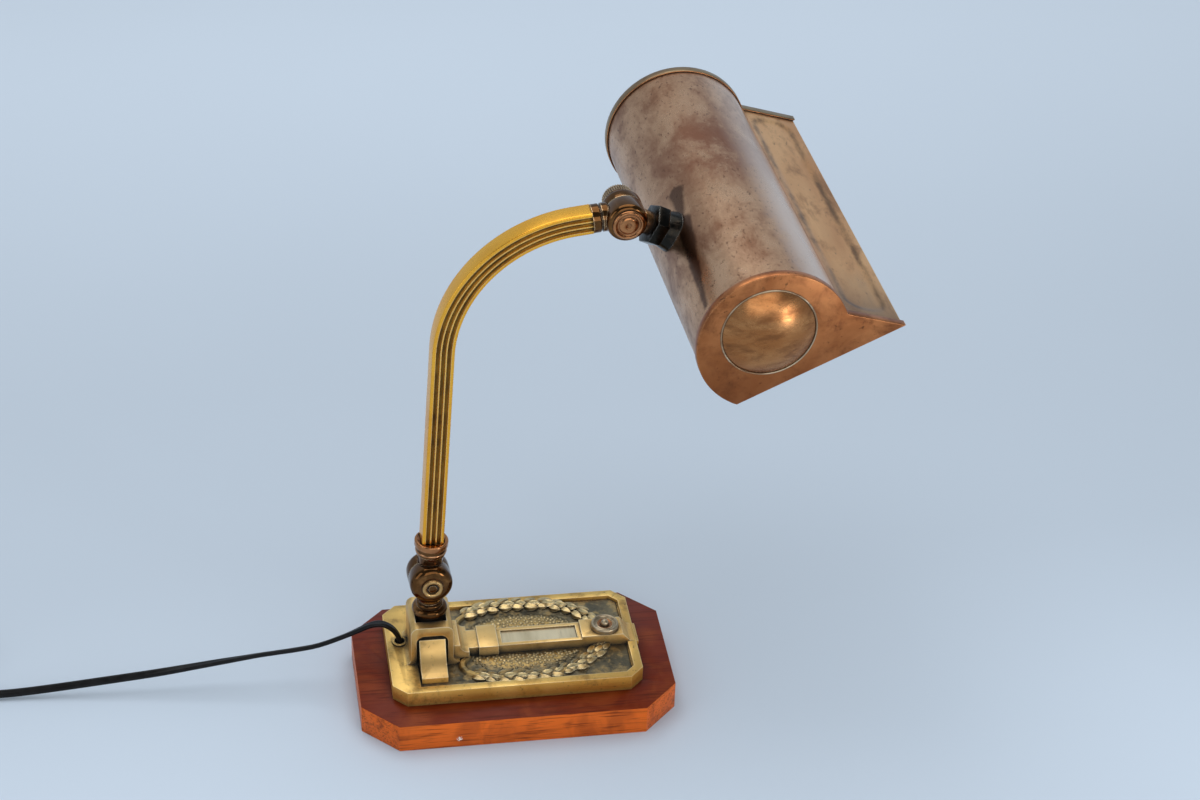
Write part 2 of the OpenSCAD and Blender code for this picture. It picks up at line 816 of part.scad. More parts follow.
module low_knuckle() {
    color("sienna") in_arm() difference() {
        union() {
            across(low_p) mirror([0, 0, 1]) translate([0, 0, half_gap]) drum(low_r, low_half, low_round);
            along(low_p, arm_dir) {
                difference() {
                    union() {
                        cylinder(r = low_neck_r, h = low_cup_at);
                        translate([0, 0, low_cup_at - eps])
                            cylinder(r = low_cup_r, h = arm_start - low_cup_at + eps);
                    }
                    rotate([90, 0, 0]) translate([0, 0, -half_gap])
                        cylinder(r = low_r + swing_gap, h = 2 * low_neck_r);
                }
                translate([0, 0, arm_start - eps]) cylinder(r = spigot_r, h = spigot_l);
            }
        }
        across(low_p) translate([0, 0, -low_half - half_gap - eps])
            cylinder(r = pin_r + run_fit, h = low_half + 2 * half_gap);
        along(low_p, arm_dir) translate([0, 0, low_cup_at])
            cylinder(r = wire_bore, h = arm_start + spigot_l - low_cup_at);
    }
}

// round collar under the cup's edge, and the rim that holds the arm's end
module low_rings() {
    color("chocolate") in_arm() along(low_p, arm_dir) {
        translate([0, 0, low_cup_at + low_ring_bead]) difference() {
            bead(low_ring_r, low_ring_bead / 2);
            translate([0, 0, -low_ring_bead]) cylinder(r = low_cup_r, h = 2 * low_ring_bead);
        }
        translate([0, 0, arm_start]) difference() {
            drum(low_rim_r, low_rim_h, 1);
            translate([0, 0, low_rim_h / 2])
                cube([arm_w + 2 * rim_fit, arm_t + 2 * rim_fit, 2 * low_rim_h], center = true);
        }
    }
}

// Arm

module arm_section(inset) {
    difference() {
        square([arm_w - 2 * inset, arm_t - 2 * inset], center = true);
        for (s = [-1, 1], i = flute_side)
            translate([i * flute_pitch, s * arm_t / 2]) circle(flute_r + inset);
        circle(arm_bore + inset);
    }
}

// straight bar, bend and tail, all drawn in the bend's own plane; the bend is a hair finer than the bars
// that lap it
module arm() {
    color("goldenrod") in_arm() across(bend_mid) rotate([0, 0, bend_from]) {
        rotate([0, 0, arm_sweep]) rotate([90, 0, 0]) mirror([0, 0, 1]) translate([arm_bend_r, 0, -arm_lap])
            linear_extrude(arm_straight - arm_start + arm_lap) arm_section(0);
        rotate_extrude(angle = arm_sweep) translate([arm_bend_r, 0]) arm_section(eps);
        rotate([90, 0, 0]) translate([arm_bend_r, 0, -arm_lap])
            linear_extrude(arm_tail + arm_lap) arm_section(0);
    }
}

module upper_ferrule() {
    color("saddlebrown") in_arm() difference() {
        union() {
            along(arm_end, tail_dir) {
                difference() {
                    union() {
                        drum(ferrule_r, ferrule_ring, 1);
                        cylinder(r = ferrule_groove_r, h = ferrule_ring + 2 * ferrule_groove);
                        translate([0, 0, ferrule_ring + ferrule_groove]) drum(ferrule_r, ferrule_ring, 2);
                        cylinder(r = ferrule_neck_r, h = ferrule_l);
                    }
                    translate([0, 0, ferrule_l]) rotate([-90, 0, 0]) translate([0, 0, -half_gap])
                        cylinder(r = up_r + swing_gap, h = 2 * ferrule_r);
                }
                translate([0, 0, -spigot_l]) cylinder(r = spigot_r, h = spigot_l + eps);
            }
            across(up_p) translate([0, 0, half_gap]) drum(up_r, up_front, up_round);
        }
        across(up_p) translate([0, 0, -half_gap]) cylinder(r = pin_r + run_fit, h = up_front + 3 * half_gap);
        along(arm_end, tail_dir) translate([0, 0, -spigot_l - eps])
            cylinder(r = wire_bore, h = 2 * spigot_l);
    }
}

module upper_pin() {
    head = half_gap + up_front;
    back = half_gap + up_back + knob_gap + knob_hub_l + knob_l / 2;
    color("peru") in_arm() across(up_p) {
        difference() {
            translate([0, 0, head]) drum(up_head_r, up_head_t, 1);
            translate([0, 0, head + up_head_t - up_dish_depth])
                tube(up_dish_r, up_boss_r, up_dish_depth + eps);
        }
        translate([0, 0, -back]) cylinder(r = pin_r, h = back + head + eps);
    }
}

module knob() {
    color("dimgray") in_arm() across(up_p) mirror([0, 0, 1])
        translate([0, 0, half_gap + up_back + knob_gap]) difference() {
            union() {
                cylinder(r = knob_hub_r, h = knob_hub_l + eps);
                translate([0, 0, knob_hub_l]) drum(knob_r, knob_l, knob_dome);
            }
            translate([0, 0, -eps])
                cylinder(r = pin_r + run_fit, h = knob_hub_l + knob_l / 2 + 2 * seat_gap);
        }
}

// Shade stem

module shade_knuckle() {
    color("saddlebrown") difference() {
        union() {
            in_arm() across(up_p) mirror([0, 0, 1]) translate([0, 0, half_gap])
                drum(up_r, up_back, up_round);
            on_stem() difference() {
                union() {
                    cylinder(r = stem_neck_r, h = stem_nut_at);
                    cylinder(r = stem_r, h = stem_end);
                }
                rotate([90, 0, 0]) translate([0, 0, -half_gap])
                    cylinder(r = up_r + swing_gap, h = 2 * stem_neck_r);
            }
        }
        in_arm() across(up_p) translate([0, 0, -up_back - half_gap - eps])
            cylinder(r = pin_r + run_fit, h = up_back + 2 * half_gap);
        on_stem() translate([0, 0, stem_nut_at]) cylinder(r = wire_bore, h = stem_end);
    }
}

module stem_nut() {
    color("slategray") on_stem() translate([0, 0, stem_nut_at])
        hex_nut(stem_nut_r, stem_r + run_fit, stem_nut_h);
}

// cone that seats the nut on the round tube
module stem_saddle() {
    from = stem_nut_at + stem_nut_h;
    color("dimgray") difference() {
        on_stem() translate([0, 0, from]) difference() {
            cylinder(r1 = saddle_r0, r2 = saddle_r1, h = stem_reach - tube_r + sheet_t - from);
            translate([0, 0, -eps]) cylinder(r = stem_r + run_fit, h = stem_reach);
        }
        in_shade() cylinder(r = tube_r + run_fit, h = big, center = true);
    }
}

module inner_nut() {
    color("silver") on_stem() translate([0, 0, stem_reach - bracket_at + bracket_t])
        hex_nut(inner_nut_r, stem_r + run_fit, inner_nut_h);
}

// Lampholder and bulb

// strip held under the inner nut, with a paddle that carries the holder
module holder_bracket() {
    reach = holder_at + bracket_t;
    color("silver") difference() {
        union() {
            in_shade() rotate([0, 0, stem_at])
                translate([bracket_at - bracket_t, -bracket_w / 2, -bracket_over])
                    cube([bracket_t, bracket_w, reach + bracket_neck + bracket_over]);
            in_shade() translate([0, 0, holder_at]) linear_extrude(bracket_t) {
                translate([0, holder_y]) circle(paddle_r);
                rotate([0, 0, stem_at]) translate([0, bracket_neck - bracket_w / 2])
                    square([bracket_at - bracket_t / 2, bracket_w - 2 * bracket_neck]);
            }
        }
        in_shade() translate([0, holder_y, holder_at - eps])
            cylinder(r = holder_bore, h = bracket_t + 2 * eps);
        on_stem() cylinder(r = stem_r + stem_play, h = stem_reach);
    }
}

module lampholder() {
    color("peru") in_shade() translate([0, holder_y, holder_at + bracket_t]) difference() {
        union() {
            cylinder(r = holder_r, h = holder_l - holder_shoulder);
            translate([0, 0, holder_l - holder_shoulder - eps])
                cylinder(r1 = holder_r, r2 = holder_cap_r, h = holder_shoulder / 2);
            cylinder(r = holder_cap_r, h = holder_l);
        }
        translate([0, 0, -eps]) cylinder(r = holder_bore, h = cap_l - cap_set - bracket_t + eps);
    }
}

module holder_ring() {
    color("peru") in_shade() translate([0, holder_y, holder_at - ring_l]) tube(ring_r, holder_bore, ring_l);
}

module bulb_cap() {
    color("silver") in_shade() translate([0, holder_y, holder_at - cap_set]) difference() {
        cylinder(r = cap_r, h = cap_l);
        translate([0, 0, -eps]) cylinder(r = cap_r - glass_t, h = cap_l - glass_t);
    }
}

// half section of the glass, drawn in by its wall for the inside
module glass_half(inset) {
    square([glass_neck_r - inset, glass_neck_l]);
    translate([0, glass_neck_l - eps]) square([bulb_r - inset, bulb_l - bulb_r - glass_neck_l + 2 * eps]);
    translate([0, bulb_l - bulb_r]) intersection() {
        circle(bulb_r - inset);
        square(bulb_r);
    }
}

module bulb_glass() {
    color("white") in_shade() translate([0, holder_y, holder_at - cap_set]) mirror([0, 0, 1])
        rotate_extrude() difference() {
            glass_half(0);
            difference() {
                glass_half(glass_t);
                translate([glass_neck_r - glass_t, glass_neck_l - eps]) square([bulb_r, glass_t + eps]);
            }
            translate([0, -eps]) square([glass_neck_r - glass_t, glass_neck_l]);
        }
}

// Shade

// filled section of the shade, drawn in from the end plates' edge
module shade_area(inset) {
    intersection() {
        union() {
            circle(edge_r - inset);
            rotate([0, 0, -visor_slope]) translate([0, -big]) square([visor_a, big + visor_n - inset]);
        }
        translate([-big, -mouth_drop]) square([2 * big, 2 * big]);
    }
}

// sheet bent into a tube with a visor, open at the mouth
module shell_section() {
    outer = visor_n - edge_step;
    intersection() {
        union() {
            difference() {
                circle(tube_r);
                circle(inner_r);
                rotate([0, 0, -visor_slope]) translate([outer - sheet_t, -big])
                    square([big, big + outer - sheet_t]);
            }
            rotate([0, 0, -visor_slope]) {
                from = sqrt(inner_r * inner_r - outer * outer);
                translate([from, outer - sheet_t]) square([visor_a - from, sheet_t]);
            }
        }
        translate([-big, -mouth_drop]) square([2 * big, 2 * big]);
    }
}

module shade_shell() {
    color("rosybrown") difference() {
        in_shade() translate([0, 0, end_t - far_l])
            linear_extrude(far_l + near_l - 2 * end_t) shell_section();
        on_stem() translate([0, 0, stem_nut_at])
            cylinder(r = stem_r + stem_play, h = stem_end - stem_nut_at);
    }
}

// flat end with a rim turned over the sheet
module end_plate() {
    linear_extrude(end_t) shade_area(0);
    translate([0, 0, end_t - eps]) linear_extrude(end_rim) difference() {
        shade_area(0);
        translate([0, -eps]) shade_area(edge_step - run_fit);
    }
}

module end_near() {
    color("chocolate") in_shade() translate([0, 0, near_l]) mirror([0, 0, 1]) end_plate();
}

module end_far() {
    color("chocolate") in_shade() translate([0, 0, -far_l]) end_plate();
}

// pressed dome with a fine edge ring, lying on the end plate
module dome() {
    rotate_extrude() {
        difference() {
            intersection() {
                translate([0, dome_h - dome_sphere]) circle(dome_sphere);
                square([dome_r, dome_h]);
            }
            translate([0, dome_h - dome_sphere]) circle(dome_sphere - dome_t);
        }
        translate([dome_r - dome_t, 0]) square([dome_ring_r - dome_r + dome_t, dome_ring_t]);
    }
}

module end_domes() {
    color("peru") in_shade() {
        translate([0, dome_y, near_l]) dome();
        translate([0, dome_y, -far_l]) mirror([0, 0, 1]) dome();
    }
}

// Cord

function unit(v) = v / norm(v);
function tangent(p, i) = unit(p[min(i + 1, len(p) - 1)] - p[max(i - 1, 0)]);

// one ring of a swept section: w is the axis of its first size
function ring(c, t, w, size, sides) =
    let (n = unit(cross(t, w)), wide = cross(n, t))
    [for (k = [0 : sides - 1])
        c + size[0] / 2 * cos(360 * k / sides) * wide + size[1] / 2 * sin(360 * k / sides) * n];

function sweep_faces(rings, sides) = concat(
    [for (k = [1 : sides - 2]) [0, k, k + 1]],
    [for (i = [0 : rings - 2], k = [0 : sides - 1], tri = [0, 1])
        let (a = i * sides + k, b = i * sides + (k + 1) % sides, c = a + sides, d = b + sides)
        tri == 0 ? [a, d, b] : [a, c, d]],
    [for (k = [1 : sides - 2]) let (e = (rings - 1) * sides) [e, e + k + 1, e + k]]);

module sweep(rings, sides) {
    polyhedron([for (r = rings) each r], sweep_faces(len(rings), sides));
}

// the cord lies flat and turns on edge as it nears the coil
function cord_roll(i) = 90 * max(0, min(1, (i - cord_twist_from) / (len(cord_route) - 2 - cord_twist_from)));
function cord_wide(i) = [0, cos(cord_roll(i)), sin(cord_roll(i))];
cord_rings = [for (i = [0 : len(cord_route) - 1])
    ring(cord_route[i], tangent(cord_route, i), cord_wide(i), cord_size, cord_sides)];

module cord() {
    color("black") sweep(cord_rings, cord_sides);
}

// loops spiral in on the lower layer, climb where the spiral reverses and spiral out on the upper one
coil_mid = coil_turns / 2;
function coil_rad(t) = coil_r - coil_pitch * (coil_mid - abs(t - coil_mid));
function coil_up(t) = coil_layer * max(0, min(1, 2 * (t - coil_mid) + 1 / 2));
function coil_point(t) =
    let (a = -90 - 360 * t)
    [coil_x + coil_rad(t) * cos(a), coil_y + coil_rad(t) * sin(a), coil_z + coil_up(t)];
coil_count = coil_turns * coil_steps;
coil_last = coil_point(coil_turns);
coil_path = concat(
    [[coil_x + cord_w, coil_y - coil_r, coil_z]],
    [for (i = [0 : coil_count]) coil_point(i / coil_steps)],
    [for (p = coil_lead) [coil_last[0], coil_last[1] + p[0], p[1]]]);
coil_rings = [for (i = [0 : len(coil_path) - 1])
    ring(coil_path[i], tangent(coil_path, i), [0, 0, 1], cord_size, coil_sides)];

// least distance between the points of rings that lie half a turn or more apart along the cord
function coil_gap() = min([for (i = [0 : len(coil_rings) - 1])
    let (far = i + coil_steps / 2)
    if (far < len(coil_rings)) min([for (j = [far : len(coil_rings) - 1])
        if (norm(coil_path[i] - coil_path[j]) < 2 * cord_w)
            min([for (a = coil_rings[i], b = coil_rings[j]) norm(a - b)])
        else big])]);

function path_length(p) = len(p) < 2 ? 0 : sum_steps(p, len(p) - 1);
function sum_steps(p, i) = i == 0 ? 0 : norm(p[i] - p[i - 1]) + sum_steps(p, i - 1);

module cord_coil() {
    echo(coil_gap = coil_gap(), cord_length = path_length(cord_route), coil_length = path_length(coil_path));
    color("black") sweep(coil_rings, coil_sides);
}

module cord_tie() {
    inner = coil_r - coil_pitch * coil_mid - cord_t / 2 - tie_clear;
    outer = coil_r + cord_t / 2 + tie_clear;
    low = coil_z - cord_w / 2 - tie_clear;
    high = coil_z + coil_layer + cord_w / 2 + tie_clear;
    color("dimgray") translate([coil_x, coil_y, 0]) rotate([0, 0, tie_at]) rotate([90, 0, 0])
        linear_extrude(tie_w, center = true) difference() {
            translate([inner - tie_t, low - tie_t])
                square([outer - inner + 2 * tie_t, high - low + 2 * tie_t]);
            translate([inner, low]) square([outer - inner, high - low]);
        }
}

// local z runs along the plug, from its sleeve to its pins
module in_plug() {
    translate(coil_path[len(coil_path) - 1]) rotate([-90, 0, 0]) children();
}

module plug_body() {
    color("black") in_plug() difference() {
        union() {
            cylinder(r = plug_sleeve_r, h = plug_sleeve_l + eps);
            translate([0, 0, plug_sleeve_l]) rotate([90, 0, 0]) linear_extrude(plug_t, center = true) {
                translate([-plug_w / 2, plug_round]) square([plug_w, plug_l - plug_round]);
                translate([plug_round - plug_w / 2, 0]) square([plug_w - 2 * plug_round, plug_l]);
                for (s = [-1, 1]) translate([s * (plug_w / 2 - plug_round), plug_round]) circle(plug_round);
            }
        }
        for (s = [-1, 1]) translate([s * plug_pin_at, 0, plug_sleeve_l + plug_l - plug_pin_in])
            cylinder(r = plug_pin_r + run_fit, h = plug_pin_in + eps);
    }
}

module plug_pins() {
    color("silver") in_plug() for (s = [-1, 1])
        translate([s * plug_pin_at, 0, plug_sleeve_l + plug_l - plug_pin_in])
            cylinder(r = plug_pin_r, h = plug_pin_in + plug_pin_l);
}

plinth();
base_plate();
plate_screws();
cord_eyelet();
cord_grip();
grip_screws();
switch_bezel();
switch_body();
switch_nut();
switch_spring();
button();
foot();
foot_washer();
foot_nut();
low_pin();
low_pin_nut();
low_knuckle();
low_rings();
arm();
upper_ferrule();
upper_pin();
knob();
shade_knuckle();
stem_nut();
stem_saddle();
inner_nut();
holder_bracket();
lampholder();
holder_ring();
bulb_cap();
bulb_glass();
shade_shell();
end_near();
end_far();
end_domes();
cord();
cord_coil();
cord_tie();
plug_body();
plug_pins();
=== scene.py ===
"""Desk lamp with a wooden plinth, a cast brass base plate, a bent reeded arm and a tubular shade.

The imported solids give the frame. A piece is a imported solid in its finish, a copy of one, or a finer form
built in millimetres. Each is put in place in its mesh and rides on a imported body.
"""
import logging
import math
from dataclasses import dataclass, field, replace
from enum import Enum
from typing import Callable, Iterable, Sequence

import bmesh
import bpy
import numpy as np
from mathutils import Matrix, Vector, noise


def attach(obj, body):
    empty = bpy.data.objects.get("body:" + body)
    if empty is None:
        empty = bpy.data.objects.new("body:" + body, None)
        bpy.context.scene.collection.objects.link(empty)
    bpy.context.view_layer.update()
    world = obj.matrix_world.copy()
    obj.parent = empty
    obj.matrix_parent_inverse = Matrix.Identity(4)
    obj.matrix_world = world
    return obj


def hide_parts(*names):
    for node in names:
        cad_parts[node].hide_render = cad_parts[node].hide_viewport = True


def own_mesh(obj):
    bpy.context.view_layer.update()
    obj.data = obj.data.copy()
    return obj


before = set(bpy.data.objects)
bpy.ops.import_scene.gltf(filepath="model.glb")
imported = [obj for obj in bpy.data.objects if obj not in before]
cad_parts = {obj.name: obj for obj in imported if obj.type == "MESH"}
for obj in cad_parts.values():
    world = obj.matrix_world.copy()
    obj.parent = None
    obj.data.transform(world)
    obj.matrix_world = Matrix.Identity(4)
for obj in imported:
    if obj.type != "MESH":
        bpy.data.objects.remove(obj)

log = logging.getLogger("lamp")

Flat = tuple[float, float]
Point = tuple[float, float, float]
Colour = tuple[float, float, float]
MM = Matrix.Scale(0.001, 4)
# Samples of the shaders' hollows and edges
HOLLOW_SAMPLES = 6
EDGE_SAMPLES = 5
# In degrees: an edge past CREASE is shaded sharp, one past SHARP is worn round, one under LEVEL is dissolved
CREASE = 34.0
SHARP = 30.0
LEVEL = 0.4
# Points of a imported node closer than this, in millimetres, are one
WELD = 0.002


def polar(radius: float, angle: float) -> Flat:
    """Return the flat point at a radius and at an angle in degrees."""
    a = math.radians(angle)
    return (radius * math.cos(a), radius * math.sin(a))


class Body(Enum):
    """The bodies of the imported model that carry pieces."""

    BASE = "base"
    FOOT = "foot"
    ARM = "arm"
    KNOB = "knob"
    SHADE = "shade"
    BUTTON = "button"


class Slot(Enum):
    """The record's material slots."""

    WOOD = "mahogany"
    PLATE = "plate_brass"
    ARM = "arm_brass"
    JOINT = "joint_bronze"
    COPPER = "copper"
    SHEET = "shade_sheet"
    END = "end_sheet"
    STEEL = "steel"
    NICKEL = "nickel"
    BAKELITE = "bakelite"
    CORD = "cord_black"


# Node trees


class Sock:
    """An output socket of a node tree that takes part in Python sums."""

    def __init__(self, nodes: "Nodes", socket: bpy.types.NodeSocket) -> None:
        """Keep the socket and the tree it belongs to."""
        self.nodes = nodes
        self.socket = socket

    def of(self, name: str) -> "Sock":
        """Return another output of the same node."""
        return Sock(self.nodes, self.socket.node.outputs[name])

    def _sum(self, operation: str, first: "Sock | float", second: "Sock | float") -> "Sock":
        """Add a Math node for two values."""
        return self.nodes.add("ShaderNodeMath", {"operation": operation}, {0: first, 1: second})

    def __add__(self, other: "Sock | float") -> "Sock":
        """Return self + other."""
        return self._sum("ADD", self, other)

    def __radd__(self, other: float) -> "Sock":
        """Return other + self."""
        return self._sum("ADD", other, self)

    def __sub__(self, other: "Sock | float") -> "Sock":
        """Return self - other."""
        return self._sum("SUBTRACT", self, other)

    def __rsub__(self, other: float) -> "Sock":
        """Return other - self."""
        return self._sum("SUBTRACT", other, self)

    def __mul__(self, other: "Sock | float") -> "Sock":
        """Return self * other."""
        return self._sum("MULTIPLY", self, other)

    def __rmul__(self, other: float) -> "Sock":
        """Return other * self."""
        return self._sum("MULTIPLY", other, self)

    def between(self, low: float, high: float) -> "Sock":
        """Return 0 below low, 1 above high and a smooth step between them."""
        return self.nodes.add("ShaderNodeMapRange", {"interpolation_type": "SMOOTHSTEP"},
                              {0: self, 1: low, 2: high, 3: 0.0, 4: 1.0})


class Nodes:
    """A node tree with one way to add a node."""

    def __init__(self, tree: bpy.types.NodeTree) -> None:
        """Keep the tree."""
        self.tree = tree

    def add(self, kind: str, settings: dict | None = None, inputs: dict | None = None,
            out: str | int = 0) -> Sock:
        """Add a node.

        Args:
            kind: the node's type.
            settings: its properties, set first.
            inputs: values or sockets by input name or number; a list links each of its sockets.
            out: the output to return.

        Returns:
            The chosen output, or None for a node that has none.
        """
        node = self.tree.nodes.new(kind)
        for key, value in (settings or {}).items():
            setattr(node, key, value)
        for key, value in (inputs or {}).items():
            for one in value if isinstance(value, list) else [value]:
                if isinstance(one, Sock):
                    self.tree.links.new(one.socket, node.inputs[key])
                else:
                    node.inputs[key].default_value = one
        return Sock(self, node.outputs[out]) if len(node.outputs) else None

    def blend(self, amount: Sock | float, first: Sock | Colour, second: Sock | Colour) -> Sock:
        """Mix two colours.

        Args:
            amount: how much of the second colour, from 0 to 1.
            first: a colour or a colour socket.
            second: a colour or a colour socket.

        Returns:
            The mixed colour.
        """
        pair = [one if isinstance(one, Sock) else (*one, 1.0) for one in (first, second)]
        return self.add("ShaderNodeMix", {"data_type": "RGBA", "clamp_factor": True},
                        {0: amount, 6: pair[0], 7: pair[1]}, out=2)

    def grain(self, where: Sock, scale: float, detail: float, rough: float = 0.6, warp: float = 0.0) -> Sock:
        """Add a noise texture and return its value."""
        return self.add("ShaderNodeTexNoise", {}, {"Vector": where, "Scale": scale, "Detail": detail,
                                                   "Roughness": rough, "Distortion": warp})

    def vector(self, operation: str, first: Sock | Point, second: Sock | Point, out: str = "Vector") -> Sock:
        """Add a Vector Math node for two vectors and return its Vector or its Value."""
        return self.add("ShaderNodeVectorMath", {"operation": operation}, {0: first, 1: second}, out=out)

    def scaled(self, way: Sock | Point, amount: Sock | float) -> Sock:
        """Return a vector times a value."""
        return self.add("ShaderNodeVectorMath", {"operation": "SCALE"}, {0: way, "Scale": amount})

    def axis(self, where: Sock, name: str) -> Sock:
        """Return a vector's X, Y or Z."""
        return self.add("ShaderNodeSeparateXYZ", {}, {0: where}, out=name)

    def apart(self, where: Sock, point: Point) -> Sock:
        """Return the distance from a point."""
        return self.vector("DISTANCE", where, point, "Value")

    def beside(self, where: Sock, start: Point, end: Point) -> tuple[Sock, Sock]:
        """Return the distance from a line between two points and the line's share at the nearest place."""
        line = Vector(end) - Vector(start)
        away = self.vector("SUBTRACT", where, start)
        part = self.vector("DOT_PRODUCT", away, tuple(line / line.length_squared), "Value")
        share = self.add("ShaderNodeClamp", {}, {0: part})
        gap = self.vector("DISTANCE", away, self.scaled(tuple(line), share), "Value")
        return gap, share

    def place(self, stretch: Point = (1.0, 1.0, 1.0)) -> Sock:
        """Return the object's own coordinates, stretched."""
        own = self.add("ShaderNodeTexCoord", out="Object")
        return self.add("ShaderNodeMapping", {}, {"Vector": own, "Scale": stretch})

    def marked(self, name: str) -> Sock:
        """Return a value that the mesh carries at its points."""
        return self.add("ShaderNodeAttribute", {"attribute_name": name}, out="Fac")

    def normal(self) -> Sock:
        """Return the surface's outward way."""
        return self.add("ShaderNodeNewGeometry", out="Normal")

    def openness(self, reach: float) -> Sock:
        """Return 1 in the open and less in hollows, over a reach in metres."""
        return self.add("ShaderNodeAmbientOcclusion", {"samples": HOLLOW_SAMPLES}, {"Distance": reach},
                        out="AO")

    def edge(self, reach: float) -> Sock:
        """Return 0 on plain ground and more at edges, over a reach in metres."""
        soft = self.add("ShaderNodeBevel", {"samples": EDGE_SAMPLES}, {"Radius": reach})
        return 1 - self.vector("DOT_PRODUCT", self.normal(), soft, "Value")

    def bump(self, height: Sock, strength: float, depth: float, invert: bool = False) -> Sock:
        """Return the normal of a fine relief with a depth in metres."""
        return self.add("ShaderNodeBump", {"invert": invert},
                        {"Strength": strength, "Distance": depth, "Height": height})

    def seen(self) -> Sock:
        """Return 1 for rays that show the backdrop: the camera's, reflected ones and those through glass."""
        path = self.add("ShaderNodeLightPath", out="Is Camera Ray")
        return path + path.of("Is Glossy Ray") + path.of("Is Transmission Ray")


def fresh(owner: bpy.types.Material | bpy.types.World) -> Nodes:
    """Return the emptied node tree of a material or a world."""
    owner.use_nodes = True
    owner.node_tree.nodes.clear()
    return Nodes(owner.node_tree)


# Finishes


@dataclass(frozen=True)
class Finish:
    """A named finish that makes its material once."""

    name: str

    def material(self) -> bpy.types.Material:
        """Return the finish's material, made on first use."""
        made = bpy.data.materials.get(self.name)
        if made is None:
            made = bpy.data.materials.new(self.name)
            nodes = fresh(made)
            nodes.add("ShaderNodeOutputMaterial", {}, {"Surface": self.surface(nodes)})
        return made

    def surface(self, nodes: Nodes) -> Sock:
        """Return the finish's shader."""
        raise NotImplementedError


@dataclass(frozen=True)
class AgedMetal(Finish):
    """Metal with broad patina, warm patches, specks, grime and painted shade in hollows and bright worn
    edges.

    Scales are in cycles to the metre, reaches and depths in metres. A pair named from holds where a mark
    starts and where it is full.
    """

    main: Colour = (0.5, 0.4, 0.2)
    second: Colour = (0.4, 0.3, 0.15)
    patch: Colour = (0.3, 0.15, 0.08)
    speck: Colour = (0.06, 0.04, 0.03)
    grime_and_shade_colour: Colour = (0.03, 0.028, 0.02)
    bright: Colour = (0.8, 0.65, 0.4)
    broad: float = 22.0
    middle: float = 70.0
    fine: float = 420.0
    patches: float = 0.6
    patch_from: Flat = (0.5, 0.72)
    specks: float = 0.5
    speck_from: Flat = (0.62, 0.74)
    grime_and_shade: float = 0.8
    grime_and_shade_reach: float = 0.006
    wear: float = 0.5
    wear_reach: float = 0.0009
    rough: float = 0.34
    rough_spread: float = 0.25
    bump: float = 0.05
    stretch: Point = (1.0, 1.0, 1.0)
    broad_from: Flat = (0.36, 0.66)
    grime_and_shade_from: Flat = (0.12, 0.75)
    wear_from: Flat = (0.01, 0.14)
    open_from: Flat = (0.5, 0.9)
    dirt_rough: float = 0.35
    dirt_dull: float = 0.75
    fine_rough: float = 0.08
    bump_depth: float = 0.001

    def tint(self, nodes: Nodes, colour: Sock, cloud: Sock) -> Sock:
        """Return the colour with any marks of this finish's own."""
        return colour

    def surface(self, nodes: Nodes) -> Sock:
        """Return the metal's shader."""
        where = nodes.place(self.stretch)
        broad = nodes.grain(where, self.broad, 4.0, 0.55, 0.4)
        middle = nodes.grain(where, self.middle, 8.0, 0.68, 0.3)
        fine = nodes.grain(where, self.fine, 3.0)
        # Hollows darken with grime and, in part, with painted shade, as in the visor's dark band by the tube
        light = nodes.openness(self.grime_and_shade_reach)
        grime_and_shade = (1 - light).between(*self.grime_and_shade_from) * (0.6 + 0.8 * middle) * self.grime_and_shade
        edges = nodes.edge(self.wear_reach).between(*self.wear_from) * light.between(*self.open_from)
        colour = nodes.blend(broad.between(*self.broad_from), self.main, self.second)
        colour = nodes.blend(middle.between(*self.patch_from) * self.patches, colour, self.patch)
        colour = nodes.blend(fine.between(*self.speck_from) * self.specks, colour, self.speck)
        colour = self.tint(nodes, colour, middle)
        colour = nodes.blend(edges * (0.45 + fine) * self.wear, colour, self.bright)
        colour = nodes.blend(grime_and_shade, colour, self.grime_and_shade_colour)
        rough = self.rough + (middle - 0.5) * self.rough_spread + grime_and_shade * self.dirt_rough
        return nodes.add("ShaderNodeBsdfPrincipled", {}, {
            "Base Color": colour, "Roughness": rough + (fine - 0.5) * self.fine_rough,
            "Metallic": 1 - grime_and_shade * self.dirt_dull,
            "Normal": nodes.bump(middle * 0.6 + fine * 0.4, self.bump, self.bump_depth)})


@dataclass(frozen=True)
class ReededMetal(AgedMetal):
    """Reeded metal, dark in the flutes that the mesh marks with its flute attribute."""

    flute: Colour = (0.050, 0.022, 0.006)
    flute_from: Flat = (0.35, 0.95)

    def tint(self, nodes: Nodes, colour: Sock, cloud: Sock) -> Sock:
        """Return the colour with dark flutes."""
        depth = nodes.marked("flute").between(*self.flute_from)
        return nodes.blend(depth * (0.45 + cloud * 0.8), colour, self.flute)


@dataclass(frozen=True)
class GradedMetal(AgedMetal):
    """Sheet that darkens along an axis, between two places in metres, and along its pressed edges.

    The mesh marks pressed edges with its press attribute.
    """

    axis: str = "Z"
    span: Flat = (0.24, 0.33)
    ragged: float = 0.06
    low: Colour = (0.21, 0.058, 0.018)
    share: float = 0.7
    crease: Colour = (0.17, 0.095, 0.05)
    crease_from: Flat = (0.32, 0.6)
    crease_share: float = 0.8

    def tint(self, nodes: Nodes, colour: Sock, cloud: Sock) -> Sock:
        """Return the colour with its darker foot and dark pressed edges."""
        # Darker towards one end: painted shade at the foot of the end plates, and darker towards the visor's
        # near end
        height = nodes.axis(nodes.place(), self.axis)
        dark = 1 - (height + (cloud - 0.5) * self.ragged).between(*self.span)
        colour = nodes.blend(dark * self.share, colour, self.low)
        press = nodes.marked("press") * cloud.between(*self.crease_from)
        return nodes.blend(press * self.crease_share, colour, self.crease)


